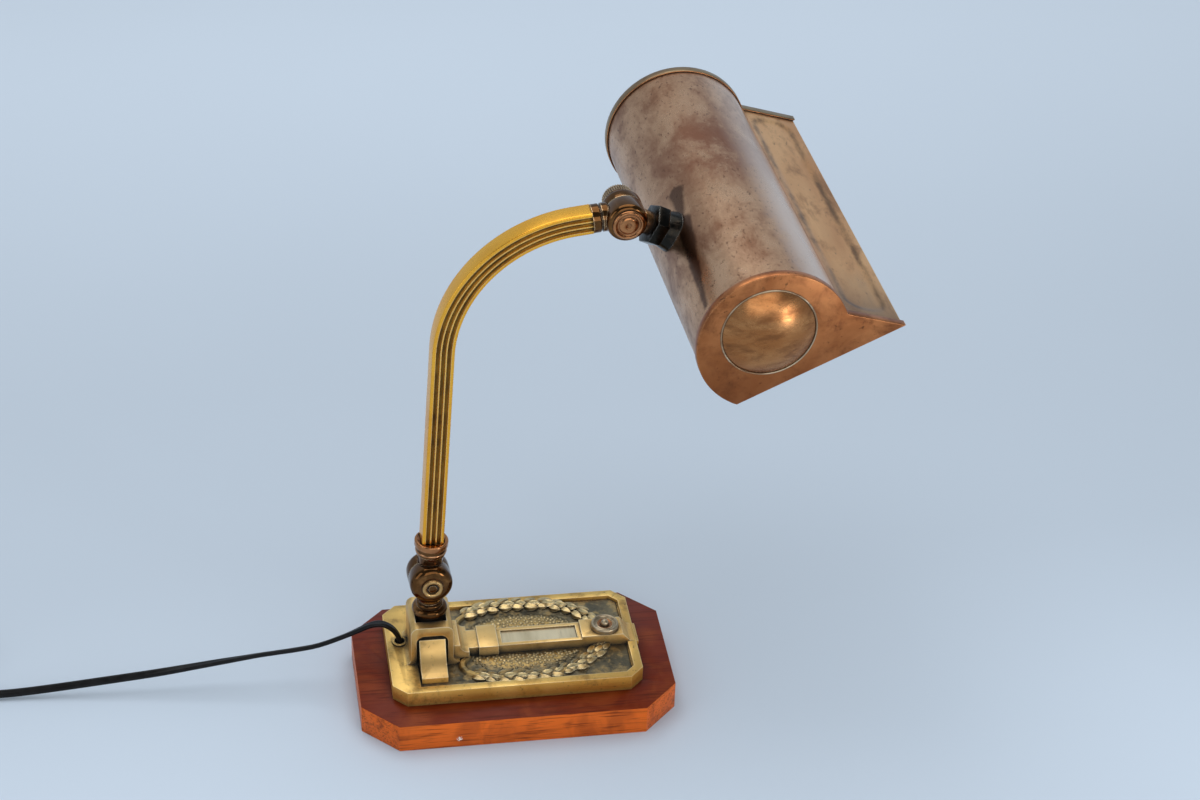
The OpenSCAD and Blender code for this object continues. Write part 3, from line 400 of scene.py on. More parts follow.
@dataclass(frozen=True)
class TubePatinaAndPaintedLight(AgedMetal):
    """Tube metal with a painted dark reflection running from the stem, a redder shoulder and a painted pale
    highlight by the visor.

    Places and reaches are in metres.
    """

    # The run is a painted dark reflection of the arm and joint, from the stem towards the near end
    run: tuple[Point, Point, Point] = (
        (0.0992, 0.037, 0.3368), (0.0984, 0.008, 0.3342), (0.0976, -0.072, 0.3269))
    reflection_half: float = 0.0046
    reflection_edge: Flat = (-0.0012, 0.0016)
    reflection_ragged: float = 0.006
    painted_reflection: Colour = (0.070, 0.026, 0.011)
    shoulder: Point = (0.128, 0.072, 0.347)
    shoulder_reach: Flat = (0.018, 0.062)
    shoulder_ragged: float = 0.05
    red: Colour = (0.235, 0.090, 0.045)
    red_from: Flat = (0.30, 0.62)
    middle_at: Point = (0.1312, 0.0148, 0.3050)
    # A painted pale highlight along the tube's flank by the visor, fading towards the far end
    highlight_way: Point = (0.910, 0.051, 0.4115)
    highlight_from: Flat = (0.025, 0.040)
    highlight_ragged: float = 0.016
    highlight_fade: Flat = (-0.02, 0.14)
    painted_light: Colour = (0.88, 0.70, 0.58)

    def tint(self, nodes: Nodes, colour: Sock, cloud: Sock) -> Sock:
        """Return the colour with the tube's marks."""
        where = nodes.place()
        stray = cloud - 0.5
        away = nodes.apart(where, self.shoulder) + stray * self.shoulder_ragged
        near = 1 - away.between(*self.shoulder_reach)
        colour = nodes.blend(near * cloud.between(*self.red_from) * 0.85, colour, self.red)
        # Painted highlight on the flank by the visor
        off = nodes.vector("SUBTRACT", where, self.middle_at)
        side = nodes.vector("DOT_PRODUCT", off, self.highlight_way, "Value") + stray * self.highlight_ragged
        lit = 1 - nodes.axis(where, "Y").between(*self.highlight_fade) * 0.65
        colour = nodes.blend(side.between(*self.highlight_from) * lit * 0.8, colour, self.painted_light)
        # Painted reflection: a dark run from the stem
        for start, end in zip(self.run, self.run[1:]):
            gap, share = nodes.beside(where, start, end)
            half = self.reflection_half * (1.25 - 0.75 * share) + stray * self.reflection_ragged
            colour = nodes.blend((half - gap).between(*self.reflection_edge) * 0.85, colour, self.painted_reflection)
        return colour


@dataclass(frozen=True)
class FieldGround(AgedMetal):
    """Dark cast ground that turns golden where the relief rises, between two heights in metres."""

    rise: Flat = (0.0281, 0.0298)
    rub_and_sheen_from: Flat = (0.25, 0.6)
    gold: Colour = (0.58, 0.385, 0.135)

    def tint(self, nodes: Nodes, colour: Sock, cloud: Sock) -> Sock:
        """Return the colour with the high parts golden, as rubbed wear and painted sheen."""
        # High parts turn golden: rubbed wear and painted sheen
        rubbed = nodes.axis(nodes.place(), "Z").between(*self.rise) * cloud.between(*self.rub_and_sheen_from)
        return nodes.blend(rubbed * 0.9, colour, self.gold)


@dataclass(frozen=True)
class PolishedWood(Finish):
    """Varnished wood with its grain along X, its sides painted paler than its top as light and shade.

    Stretches are in cycles to the metre, reaches in metres. The bump is a strength and a depth in metres.
    """

    # Top and side are one wood: the top is painted darker as shade, the sides lighter as light
    top: Colour = (0.150, 0.017, 0.002)
    side: Colour = (0.76, 0.150, 0.017)
    vein: Colour = (0.055, 0.008, 0.002)
    glow: Colour = (0.46, 0.115, 0.022)
    flame: Colour = (0.22, 0.036, 0.008)
    scuff: Colour = (0.85, 0.8, 0.74)
    chip: Point = (-0.0405, -0.059, 0.0065)
    chip_reach: Flat = (0.0010, 0.0024)
    clouds: float = 26.0
    veins: Point = (7.0, 95.0, 95.0)
    pores: Point = (45.0, 900.0, 900.0)
    figures: Point = (60.0, 130.0, 38.0)
    painted_shade_reach: float = 0.026
    wear_reach: float = 0.0012
    rough: float = 0.33
    shine: float = 0.14
    bump: Flat = (0.12, 0.0006)

    def surface(self, nodes: Nodes) -> Sock:
        """Return the wood's shader."""
        where = nodes.place()
        cloud = nodes.grain(where, self.clouds, 3.0, 0.5, 0.8)
        vein = nodes.grain(nodes.place(self.veins), 1.0, 6.0, 0.62, 1.6)
        pore = nodes.grain(nodes.place(self.pores), 1.0, 2.0, 0.5)
        figure = nodes.grain(nodes.place(self.figures), 1.0, 3.0, 0.55, 0.6)
        level = nodes.axis(nodes.normal(), "Z").between(0.35, 0.85)
        dark = (1 - nodes.openness(self.painted_shade_reach)).between(0.08, 0.55)
        worn = nodes.edge(self.wear_reach).between(0.02, 0.2) * cloud.between(0.35, 0.7)
        chip = 1 - nodes.apart(where, self.chip).between(*self.chip_reach)
        scuff = chip * nodes.grain(where, 900.0, 2.0).between(0.45, 0.55)
        # Painted light and shade: the sides are paler than the top
        colour = nodes.blend(level, self.side, self.top)
        colour = nodes.blend((1 - figure.between(0.30, 0.55)) * (0.42 - level * 0.1), colour, self.flame)
        colour = nodes.blend(vein.between(0.46, 0.72) * (0.55 + level * 0.1), colour, self.vein)
        colour = nodes.blend(cloud.between(0.5, 0.75) * 0.25, colour, self.glow)
        colour = nodes.blend(pore.between(0.53, 0.68) * 0.55, colour, self.vein)
        colour = nodes.blend(worn * 0.55, colour, self.glow)
        # Painted shade: hollows darken, the top most, so the top darkens beside the plate
        colour = nodes.blend(dark * (0.12 + level * 0.68), colour, self.vein)
        colour = nodes.blend(scuff, colour, self.scuff)
        rough = self.rough + (cloud - 0.5) * 0.3 + pore.between(0.5, 0.7) * 0.12 + scuff * 0.3
        return nodes.add("ShaderNodeBsdfPrincipled", {}, {
            "Base Color": colour, "Roughness": rough, "Specular IOR Level": self.shine,
            "Normal": nodes.bump(pore * 0.5 + vein * 0.5, *self.bump, invert=True)})


@dataclass(frozen=True)
class Moulded(Finish):
    """Moulded rubber, resin or frosted glass with a faint mottle and fine handling marks.

    The bump is a strength and a depth in metres.
    """

    main: Colour = (0.012, 0.012, 0.013)
    second: Colour = (0.03, 0.03, 0.031)
    scale: float = 160.0
    rough: float = 0.36
    bump: Flat = (0.06, 0.0005)
    clear: float = 0.0
    shine: float = 0.5

    def surface(self, nodes: Nodes) -> Sock:
        """Return the moulded shader."""
        where = nodes.place()
        mottle = nodes.grain(where, self.scale, 5.0, 0.6, 0.5)
        fine = nodes.grain(where, self.scale * 9.0, 2.0)
        return nodes.add("ShaderNodeBsdfPrincipled", {}, {
            "Base Color": nodes.blend(mottle.between(0.4, 0.7), self.main, self.second),
            "Roughness": self.rough + (mottle - 0.5) * 0.22 + (fine - 0.5) * 0.1,
            "Normal": nodes.bump(fine, *self.bump), "Transmission Weight": self.clear,
            "Specular IOR Level": self.shine})


class Finishes:
    """The lamp's finishes."""

    WOOD = PolishedWood("varnished_mahogany")
    PLATE = AgedMetal(
        "cast_brass", main=(0.88, 0.58, 0.18), second=(0.66, 0.40, 0.115), patch=(0.21, 0.12, 0.05),
        bright=(0.95, 0.74, 0.38), grime_and_shade_colour=(0.020, 0.019, 0.014), grime_and_shade=1.9, grime_and_shade_reach=0.0085, wear=1.0,
        wear_reach=0.0011, rough=0.44, bump=0.10, patches=0.7, patch_from=(0.47, 0.7), specks=0.55)
    # A lighter copy for upright faces: painted light
    PLATE_SIDE_LIT = AgedMetal(
        "cast_brass_side", main=(0.92, 0.55, 0.14), second=(0.75, 0.40, 0.08), patch=(0.24, 0.12, 0.036),
        bright=(0.95, 0.70, 0.32), grime_and_shade_colour=(0.045, 0.034, 0.022), grime_and_shade_reach=0.004, wear=0.8,
        wear_reach=0.0011, rough=0.55, bump=0.10)
    HANDLED = AgedMetal(
        "rubbed_brass", main=(0.88, 0.58, 0.225), second=(0.74, 0.455, 0.155), patch=(0.32, 0.175, 0.06),
        bright=(0.98, 0.84, 0.55), grime_and_shade_colour=(0.020, 0.019, 0.014), grime_and_shade=1.9, grime_and_shade_reach=0.008, wear=1.2,
        wear_reach=0.0011, rough=0.42, bump=0.08, specks=0.4)
    # A darker copy for upright rubbed faces: painted shade
    HANDLED_SIDE_SHADED = replace(
        HANDLED, name="rubbed_brass_side", main=(0.80, 0.53, 0.205), second=(0.65, 0.40, 0.135))
    PANEL = AgedMetal(
        "brushed_brass", main=(0.80, 0.66, 0.43), second=(0.54, 0.435, 0.26), patch=(0.34, 0.27, 0.15),
        bright=(0.84, 0.74, 0.54), grime_and_shade_colour=(0.06, 0.055, 0.04), grime_and_shade=1.0, grime_and_shade_reach=0.004, wear=0.4,
        rough=0.38, bump=0.08, patches=0.55, specks=0.2, broad=60.0, middle=140.0, stretch=(1.0, 0.12, 1.0))
    RELIEF = FieldGround(
        "cast_brass_relief", main=(0.235, 0.185, 0.098), second=(0.155, 0.125, 0.07),
        patch=(0.11, 0.085, 0.045), bright=(0.95, 0.80, 0.50), grime_and_shade_colour=(0.020, 0.021, 0.017), grime_and_shade=1.7,
        grime_and_shade_reach=0.005, wear=1.1, bump=0.25, specks=0.4, middle=160.0, rise=(0.0289, 0.0305),
        gold=(0.78, 0.56, 0.25))
    GROUND = FieldGround(
        "cast_brass_ground", main=(0.20, 0.165, 0.10), second=(0.085, 0.080, 0.060),
        patch=(0.44, 0.31, 0.135), bright=(0.6, 0.48, 0.26), grime_and_shade_colour=(0.018, 0.019, 0.016), grime_and_shade=1.6,
        grime_and_shade_reach=0.005, rough=0.45, bump=0.4, patches=0.85, patch_from=(0.46, 0.62), broad=60.0,
        middle=130.0)
    ARM = ReededMetal(
        "reeded_brass", main=(0.98, 0.49, 0.056), second=(0.94, 0.43, 0.042), patch=(0.68, 0.28, 0.034),
        bright=(0.98, 0.76, 0.36), grime_and_shade_colour=(0.040, 0.022, 0.008), grime_and_shade=0.9, grime_and_shade_reach=0.0026, wear=1.0,
        wear_reach=0.0008, rough=0.27, rough_spread=0.18, bump=0.02, patches=0.45, specks=0.25, broad=12.0,
        middle=45.0, fine=600.0)
    JOINT = AgedMetal(
        "dark_bronze", main=(0.150, 0.066, 0.022), second=(0.080, 0.034, 0.011), patch=(0.36, 0.165, 0.055),
        bright=(0.88, 0.62, 0.36), grime_and_shade_colour=(0.012, 0.010, 0.008), grime_and_shade=1.3, wear=1.4, rough=0.12,
        rough_spread=0.12, patches=0.7)
    COPPER = AgedMetal(
        "worn_copper", main=(0.46, 0.20, 0.080), second=(0.31, 0.12, 0.045), patch=(0.14, 0.055, 0.022),
        bright=(0.84, 0.54, 0.30), grime_and_shade_colour=(0.022, 0.014, 0.010), grime_and_shade=1.6, grime_and_shade_reach=0.0035, wear=0.9,
        rough=0.19, bump=0.06)
    GILT = AgedMetal(
        "worn_gilt_edge", main=(0.62, 0.39, 0.16), second=(0.46, 0.26, 0.09), patch=(0.30, 0.15, 0.06),
        bright=(0.85, 0.62, 0.34), grime_and_shade_reach=0.003, wear=0.7, rough=0.26, bump=0.04)
    TUBE = TubePatinaAndPaintedLight(
        "mottled_sheet", main=(0.60, 0.355, 0.205), second=(0.42, 0.222, 0.115),
        patch=(0.225, 0.094, 0.045), speck=(0.090, 0.034, 0.018), bright=(0.60, 0.42, 0.28),
        grime_and_shade_colour=(0.05, 0.035, 0.025), grime_and_shade=0.9, wear=0.35, rough=0.31, rough_spread=0.45, bump=0.035,
        patches=0.9, patch_from=(0.40, 0.70), specks=0.7, speck_from=(0.57, 0.72), broad=13.0, middle=55.0,
        fine=480.0, stretch=(1.0, 0.55, 1.0))
    # Its long hollow reach paints shade as a dark band on the visor by the tube, over its grime
    VISOR = GradedMetal(
        "tan_sheet", axis="Y", span=(-0.090, -0.010), low=(0.20, 0.130, 0.080), share=0.8,
        crease=(0.105, 0.062, 0.036), main=(0.80, 0.44, 0.195), second=(0.60, 0.28, 0.108),
        patch=(0.30, 0.14, 0.058), speck=(0.14, 0.075, 0.04), bright=(0.92, 0.64, 0.35),
        grime_and_shade_colour=(0.05, 0.038, 0.028), grime_and_shade=1.9, grime_and_shade_reach=0.018, wear=0.9, rough_spread=0.35, bump=0.03,
        patches=0.85, patch_from=(0.45, 0.68), specks=0.6, broad=16.0, middle=60.0, fine=480.0,
        stretch=(1.0, 0.4, 1.0))
    # Its darker foot is painted shade
    END = GradedMetal(
        "copper_sheet", main=(0.55, 0.21, 0.076), second=(0.37, 0.125, 0.042), patch=(0.165, 0.054, 0.022),
        speck=(0.045, 0.02, 0.013), bright=(0.92, 0.47, 0.22), grime_and_shade_colour=(0.05, 0.03, 0.018), grime_and_shade=1.0,
        wear=1.1, wear_reach=0.0012, rough_spread=0.35, bump=0.04, patches=0.85, patch_from=(0.43, 0.70),
        specks=0.7, speck_from=(0.62, 0.73), broad=26.0, middle=60.0, fine=300.0)
    RIM = AgedMetal(
        "olive_sheet", main=(0.30, 0.21, 0.115), second=(0.24, 0.15, 0.080), patch=(0.17, 0.10, 0.055),
        speck=(0.06, 0.026, 0.016), bright=(0.62, 0.46, 0.28), grime_and_shade_colour=(0.04, 0.03, 0.02), grime_and_shade_reach=0.005,
        wear=0.6, wear_reach=0.0012, rough_spread=0.28, bump=0.035, patches=0.7)
    DOME = AgedMetal(
        "golden_sheet", main=(0.49, 0.225, 0.085), second=(0.36, 0.14, 0.047), patch=(0.205, 0.08, 0.03),
        speck=(0.09, 0.045, 0.027), bright=(0.85, 0.60, 0.36), grime_and_shade=1.2, grime_and_shade_reach=0.007, wear=0.7,
        rough=0.27, rough_spread=0.4, bump=0.04, patches=0.85, patch_from=(0.44, 0.68), broad=30.0,
        middle=62.0, stretch=(1.0, 1.0, 2.2))
    DOME_RING = AgedMetal(
        "pale_bead", main=(0.27, 0.15, 0.075), second=(0.62, 0.49, 0.33), patch=(0.15, 0.08, 0.04),
        bright=(0.80, 0.66, 0.48), broad=40.0, grime_and_shade_reach=0.002, wear=0.25, patches=0.8)
    NUT = AgedMetal(
        "dark_nut", main=(0.020, 0.018, 0.015), second=(0.012, 0.011, 0.009), patch=(0.11, 0.075, 0.05),
        bright=(0.80, 0.78, 0.72), grime_and_shade_colour=(0.012, 0.012, 0.011), grime_and_shade=0.9, wear=1.3, rough=0.2, bump=0.25)
    STEEL = AgedMetal(
        "dull_steel", main=(0.30, 0.30, 0.30), second=(0.22, 0.215, 0.21), patch=(0.16, 0.12, 0.09),
        bright=(0.62, 0.61, 0.58), grime_and_shade=0.9, wear=0.7, rough=0.33, bump=0.06)
    NICKEL = AgedMetal(
        "worn_nickel", main=(0.54, 0.43, 0.28), second=(0.36, 0.275, 0.17), patch=(0.19, 0.13, 0.075),
        bright=(0.78, 0.74, 0.66), grime_and_shade=1.1, grime_and_shade_reach=0.003, rough=0.33)
    CORD = Moulded("black_flex", main=(0.004, 0.004, 0.0045), second=(0.009, 0.009, 0.01), shine=0.22)
    RESIN = Moulded(
        "dark_resin", main=(0.016, 0.011, 0.009), second=(0.045, 0.026, 0.018), rough=0.24, scale=90.0)
    BULB = Moulded(
        "frosted_glass", main=(0.86, 0.85, 0.81), second=(0.93, 0.92, 0.88), rough=0.45, clear=0.3)


# Meshes


def soften(points: Sequence[Flat], radius: float, closed: bool = False, steps: int = 4) -> list[Flat]:
    """Round the corners of a flat line.

    Args:
        points: the line's corners.
        radius: how far from a corner its curve starts.
        closed: whether the last point joins the first.
        steps: pieces to a curve.

    Returns:
        The rounded line's points.
    """
    count = len(points)
    out: list[Flat] = []
    for i, here in enumerate(points):
        if not closed and i in (0, count - 1):
            out.append(here)
            continue
        mid = Vector(here)
        back = Vector(points[i - 1]) - mid
        on = Vector(points[(i + 1) % count]) - mid
        reach = min(radius, back.length * 0.45, on.length * 0.45)
        first = mid + back.normalized() * reach
        last = mid + on.normalized() * reach
        for k in range(steps + 1):
            t = k / steps
            p = first * (1 - t) ** 2 + mid * 2 * t * (1 - t) + last * t ** 2
            out.append((p.x, p.y))
    return out


def through(points: Sequence[Point], parts: int) -> list[Vector]:
    """Return points on a smooth line through the given ones, with parts pieces between neighbours."""
    knots = [Vector(p) for p in points]
    out: list[Vector] = []
    for i in range(len(knots) - 1):
        a = knots[max(i - 1, 0)]
        b, c = knots[i], knots[i + 1]
        d = knots[min(i + 2, len(knots) - 1)]
        for k in range(parts):
            t = k / parts
            out.append(0.5 * (2 * b + (c - a) * t + (2 * a - 5 * b + 4 * c - d) * t ** 2
                              + (3 * b - a - 3 * c + d) * t ** 3))
    out.append(knots[-1])
    return out


class Form:
    """A mesh under construction, in millimetres."""

    def __init__(self) -> None:
        """Start with no faces."""
        self.bm = bmesh.new()

    def lathe(self, profile: Sequence[Flat], steps: int, place: Matrix = Matrix(),
              closed: bool = False) -> "Form":
        """Turn a profile of radius and height about the local Z axis.

        Args:
            profile: pairs of radius and height.
            steps: faces round the axis.
            place: where the turned form goes.
            closed: whether the profile's ends join.

        Returns:
            The form itself.
        """
        rows = []
        for r, z in profile:
            if r < 1e-6:
                rows.append([self.bm.verts.new(place @ Vector((0, 0, z)))])
                continue
            rows.append([self.bm.verts.new(place @ Vector((r * math.cos(2 * math.pi * k / steps),
                                                           r * math.sin(2 * math.pi * k / steps), z)))
                         for k in range(steps)])
        pairs = list(zip(rows, rows[1:])) + ([(rows[-1], rows[0])] if closed else [])
        made = []
        for low, high in pairs:
            for k in range(steps):
                n = (k + 1) % steps
                corners = [low[k % len(low)], low[n % len(low)], high[n % len(high)], high[k % len(high)]]
                corners = list(dict.fromkeys(corners))
                if len(corners) > 2:
                    made.append(self.bm.faces.new(corners))
        bmesh.ops.recalc_face_normals(self.bm, faces=made)
        return self

    def rings(self, rings: Sequence[Sequence[Vector]]) -> "Form":
        """Skin a row of closed rings, with flat caps."""
        rows = [[self.bm.verts.new(p) for p in ring] for ring in rings]
        count = len(rows[0])
        made = []
        for low, high in zip(rows, rows[1:]):
            for k in range(count):
                n = (k + 1) % count
                made.append(self.bm.faces.new((low[k], low[n], high[n], high[k])))
        made.append(self.bm.faces.new(rows[0][::-1]))
        made.append(self.bm.faces.new(rows[-1]))
        bmesh.ops.recalc_face_normals(self.bm, faces=made)
        return self

    def prism(self, outline: Sequence[Flat], low: float, high: float, place: Matrix = Matrix(),
              edge: float = 0.0) -> "Form":
        """Stand a flat outline up between two heights, with worn edges where an edge is given."""
        rows = [[self.bm.verts.new(place @ Vector((x, y, z))) for x, y in outline] for z in (low, high)]
        count = len(outline)
        made = [self.bm.faces.new(rows[0][::-1]), self.bm.faces.new(rows[1])]
        for k in range(count):
            n = (k + 1) % count
            made.append(self.bm.faces.new((rows[0][k], rows[0][n], rows[1][n], rows[1][k])))
        bmesh.ops.recalc_face_normals(self.bm, faces=made)
        if edge > 0:
            self.wear_edges(edge, made)
        return self

    def wear_edges(self, edge: float, faces: Iterable[bmesh.types.BMFace] | None = None) -> "Form":
        """Round the sharp edges of the given faces, or of all."""
        pool = {e for f in (faces or self.bm.faces) for e in f.edges}
        sharp = [e for e in pool if len(e.link_faces) == 2 and e.calc_face_angle(0.0) > math.radians(SHARP)]
        bmesh.ops.bevel(self.bm, geom=sharp, offset=edge, offset_type="OFFSET", segments=2, profile=0.5,
                        affect="EDGES", clamp_overlap=True)
        return self

    def sheet(self, top: Sequence[Sequence[Vector]], under: Sequence[Sequence[Vector]]) -> "Form":
        """Skin two grids of the same size, one over the other, and close them round the edge."""
        layers = [[[self.bm.verts.new(p) for p in row] for row in grid] for grid in (top, under)]
        rows, cols = len(top), len(top[0])
        made = []
        for layer in layers:
            for i in range(rows - 1):
                for j in range(cols - 1):
                    quad = (layer[i][j], layer[i + 1][j], layer[i + 1][j + 1], layer[i][j + 1])
                    made.append(self.bm.faces.new(quad))
        border = ([(i, 0) for i in range(rows)] + [(rows - 1, j) for j in range(1, cols)]
                  + [(i, cols - 1) for i in range(rows - 2, -1, -1)]
                  + [(0, j) for j in range(cols - 2, 0, -1)])
        over, below = layers
        for (i, j), (m, n) in zip(border, border[1:] + border[:1]):
            made.append(self.bm.faces.new((over[i][j], over[m][n], below[m][n], below[i][j])))
        bmesh.ops.recalc_face_normals(self.bm, faces=made)
        return self

    def indexed(self) -> bmesh.types.BMFaceSeq:
        """Number the vertices and return the faces."""
        self.bm.verts.index_update()
        return self.bm.faces

    def take(self, node: str) -> "Form":
        """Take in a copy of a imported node's mesh, with its loose triangles joined."""
        self.bm.from_mesh(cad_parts[node].data)
        bmesh.ops.transform(self.bm, matrix=MM.inverted(), verts=self.bm.verts)
        bmesh.ops.remove_doubles(self.bm, verts=self.bm.verts, dist=WELD)
        bmesh.ops.dissolve_limit(self.bm, angle_limit=math.radians(LEVEL), verts=self.bm.verts,
                                 edges=self.bm.edges, delimit=set())
        return self

    def stand(self, name: str, body: Body, slot: Slot, finish: Finish, nodes: Sequence[str] = (),
              place: Matrix = Matrix(), crease: float = CREASE) -> bpy.types.Object:
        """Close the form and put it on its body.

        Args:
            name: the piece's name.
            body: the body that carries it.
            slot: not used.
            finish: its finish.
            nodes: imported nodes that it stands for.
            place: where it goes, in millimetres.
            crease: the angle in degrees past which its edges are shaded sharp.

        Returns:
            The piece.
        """
        mesh = bpy.data.meshes.new(name)
        bmesh.ops.transform(self.bm, matrix=MM @ place, verts=self.bm.verts)
        self.bm.to_mesh(mesh)
        self.bm.free()
        mesh.materials.append(finish.material())
        smooth(mesh, crease)
        return piece(name, mesh, body, nodes)


def smooth(mesh: bpy.types.Mesh, crease: float = CREASE) -> None:
    """Shade a mesh smoothly, apart from edges sharper than an angle in degrees."""
    for face in mesh.polygons:
        face.use_smooth = True
    mesh.set_sharp_from_angle(angle=math.radians(crease))


def paint(mesh: bpy.types.Mesh, finishes: Sequence[Finish],
          choose: Callable[[bpy.types.MeshPolygon], int]) -> None:
    """Add finishes to a mesh and choose one for each face, where 0 is the one that it had."""
    for finish in finishes:
        mesh.materials.append(finish.material())
    for face in mesh.polygons:
        face.material_index = choose(face)


def mark(mesh: bpy.types.Mesh, name: str, values: Sequence[float]) -> None:
    """Write a value at each point of a mesh, for its finish to read."""
    layer = mesh.attributes.new(name, "FLOAT", "POINT")
    layer.data.foreach_set("value", values)


def put(name: str, data: bpy.types.ID) -> bpy.types.Object:
    """Put a mesh, a light or a camera in the scene."""
    obj = bpy.data.objects.new(name, data)
    bpy.context.scene.collection.objects.link(obj)
    return obj


def piece(name: str, mesh: bpy.types.Mesh, body: Body,
          nodes: Sequence[str] = ()) -> bpy.types.Object:
    """Put a finished mesh on its body.

    Args:
        name: the piece's name.
        mesh: its mesh, in place.
        body: the body that carries it.
        nodes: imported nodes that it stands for.

    Returns:
        The piece.
    """
    obj = put(name, mesh)
    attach(obj, body.value)
    if nodes:
        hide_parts(*nodes)
    log.info("%s: %d faces on %s", name, len(mesh.polygons), body.value)
    return obj


def worn(node: str, body: Body, slot: Slot, finish: Finish, edge: float) -> bpy.types.Object:
    """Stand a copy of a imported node, with worn edges, in the node's place."""
    return Form().take(node).wear_edges(edge).stand(f"{node}_worn", body, slot, finish, [node])


def dress(node: str, finish: Finish) -> None:
    """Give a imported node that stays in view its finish."""
    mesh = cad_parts[node].data
    mesh.materials.clear()
    mesh.materials.append(finish.material())
    log.info("%s: dressed in %s", node, finish.name)


# Places


@dataclass(frozen=True)
class LampFrame:
    """Where the arm's and the shade's frames stand, in millimetres and degrees."""

    foot: Flat = (-52.5, 4.5)
    turn: float = 3.2
    low_pivot: Flat = (0.0, 87.0)
    heading: float = 87.2
    straight: float = 169.0
    bend_r: float = 86.4
    sweep: float = 82.0
    tail: float = 10.0
    ferrule: float = 19.5
    stem: float = 76.5
    stem_heading: float = -27.5
    mouth_tilt: float = 24.3

    def ahead(self, start: Flat, heading: float, distance: float) -> Flat:
        """Return a point at a distance along a heading in the arm's plane."""
        u, z = polar(distance, heading)
        return (start[0] + u, start[1] + z)

    @property
    def bend_start(self) -> Flat:
        """Where the straight bar ends."""
        return self.ahead(self.low_pivot, self.heading, self.straight)

    @property
    def bend_mid(self) -> Flat:
        """The middle of the bend's circle."""
        return self.ahead(self.bend_start, self.heading - 90, self.bend_r)

    @property
    def tail_heading(self) -> float:
        """The heading after the bend."""
        return self.heading - self.sweep

    @property
    def arm_end(self) -> Flat:
        """Where the bar ends."""
        bend_end = self.ahead(self.bend_mid, self.tail_heading + 90, self.bend_r)
        return self.ahead(bend_end, self.tail_heading, self.tail)

    @property
    def up_pivot(self) -> Flat:
        """The upper pivot."""
        return self.ahead(self.arm_end, self.tail_heading, self.ferrule)

    @property
    def tube_mid(self) -> Flat:
        """The tube's axis."""
        return self.ahead(self.up_pivot, self.stem_heading, self.stem)

    def arm(self) -> Matrix:
        """Return the arm's frame: u along the arm, v across it, z up."""
        return Matrix.Translation((*self.foot, 0)) @ Matrix.Rotation(math.radians(self.turn), 4, "Z")

    def across(self, at: Flat) -> Matrix:
        """Return a frame whose z axis runs across the arm's plane to the near side."""
        return self.arm() @ Matrix.Translation((at[0], 0, at[1])) @ Matrix.Rotation(math.pi / 2, 4, "X")

    def along(self, at: Flat, heading: float) -> Matrix:
        """Return a frame whose z axis runs along a heading in the arm's plane."""
        return (self.arm() @ Matrix.Translation((at[0], 0, at[1]))
                @ Matrix.Rotation(math.radians(90 - heading), 4, "Y"))

    def shade(self) -> Matrix:
        """Return the shade's frame: x along its open face, y to its top, z to its near end."""
        return self.across(self.tube_mid) @ Matrix.Rotation(math.radians(self.mouth_tilt), 4, "Z")


LAMP = LampFrame()


# Stage


@dataclass(frozen=True)
class PaleTable(Finish):
    """Pale table with painted light, paler in front and far behind. It fades into the backdrop; places are in
    metres.
    """

    colour: Colour = (0.50, 0.598, 0.718)
    painted_light_gain: float = 1.25
    front: Flat = (-0.16, 0.16)
    rear: Flat = (0.30, 0.95)
    clouds: float = 2.2
    rough: float = 0.85
    shine: float = 0.15
    fade: Flat = (1.1, 2.6)

    def surface(self, nodes: Nodes) -> Sock:
        """Return the table's shader."""
        where = nodes.place()
        y = nodes.axis(where, "Y")
        # Painted light: the table is paler in front and far behind
        painted_light = (1 - y.between(*self.front)) * 0.75 + y.between(*self.rear)
        cloud = nodes.grain(where, self.clouds, 2.0)
        second = tuple(c * self.painted_light_gain for c in self.colour)
        colour = nodes.blend(painted_light + (cloud - 0.5) * 0.2, self.colour, second)
        paper = nodes.add("ShaderNodeBsdfPrincipled", {}, {
            "Base Color": colour, "Roughness": self.rough, "Specular IOR Level": self.shine})
        backdrop = nodes.add("ShaderNodeEmission", {}, {"Color": (*self.colour, 1.0), "Strength": 1.0})
        away = nodes.add("ShaderNodeVectorMath", {"operation": "LENGTH"}, {0: where}, out="Value")
        share = away.between(*self.fade) * nodes.seen()
        return nodes.add("ShaderNodeMixShader", {}, {0: share, 1: paper, 2: backdrop})


@dataclass(frozen=True)
class SoftLight:
    """A soft rectangular light, in metres and watts."""

    name: str
    place: Point
    size: Flat
    power: float
    colour: Colour = (1.0, 1.0, 1.0)

    def hang(self, target: Point) -> None:
        """Hang the light so that it faces a target."""
        data = bpy.data.lights.new(self.name, "AREA")
        data.shape = "RECTANGLE"
        data.size, data.size_y = self.size
        data.energy = self.power
        data.color = self.colour
        obj = put(self.name, data)
        obj.location = self.place
        obj.rotation_euler = (Vector(target) - Vector(self.place)).to_track_quat("-Z", "Y").to_euler()


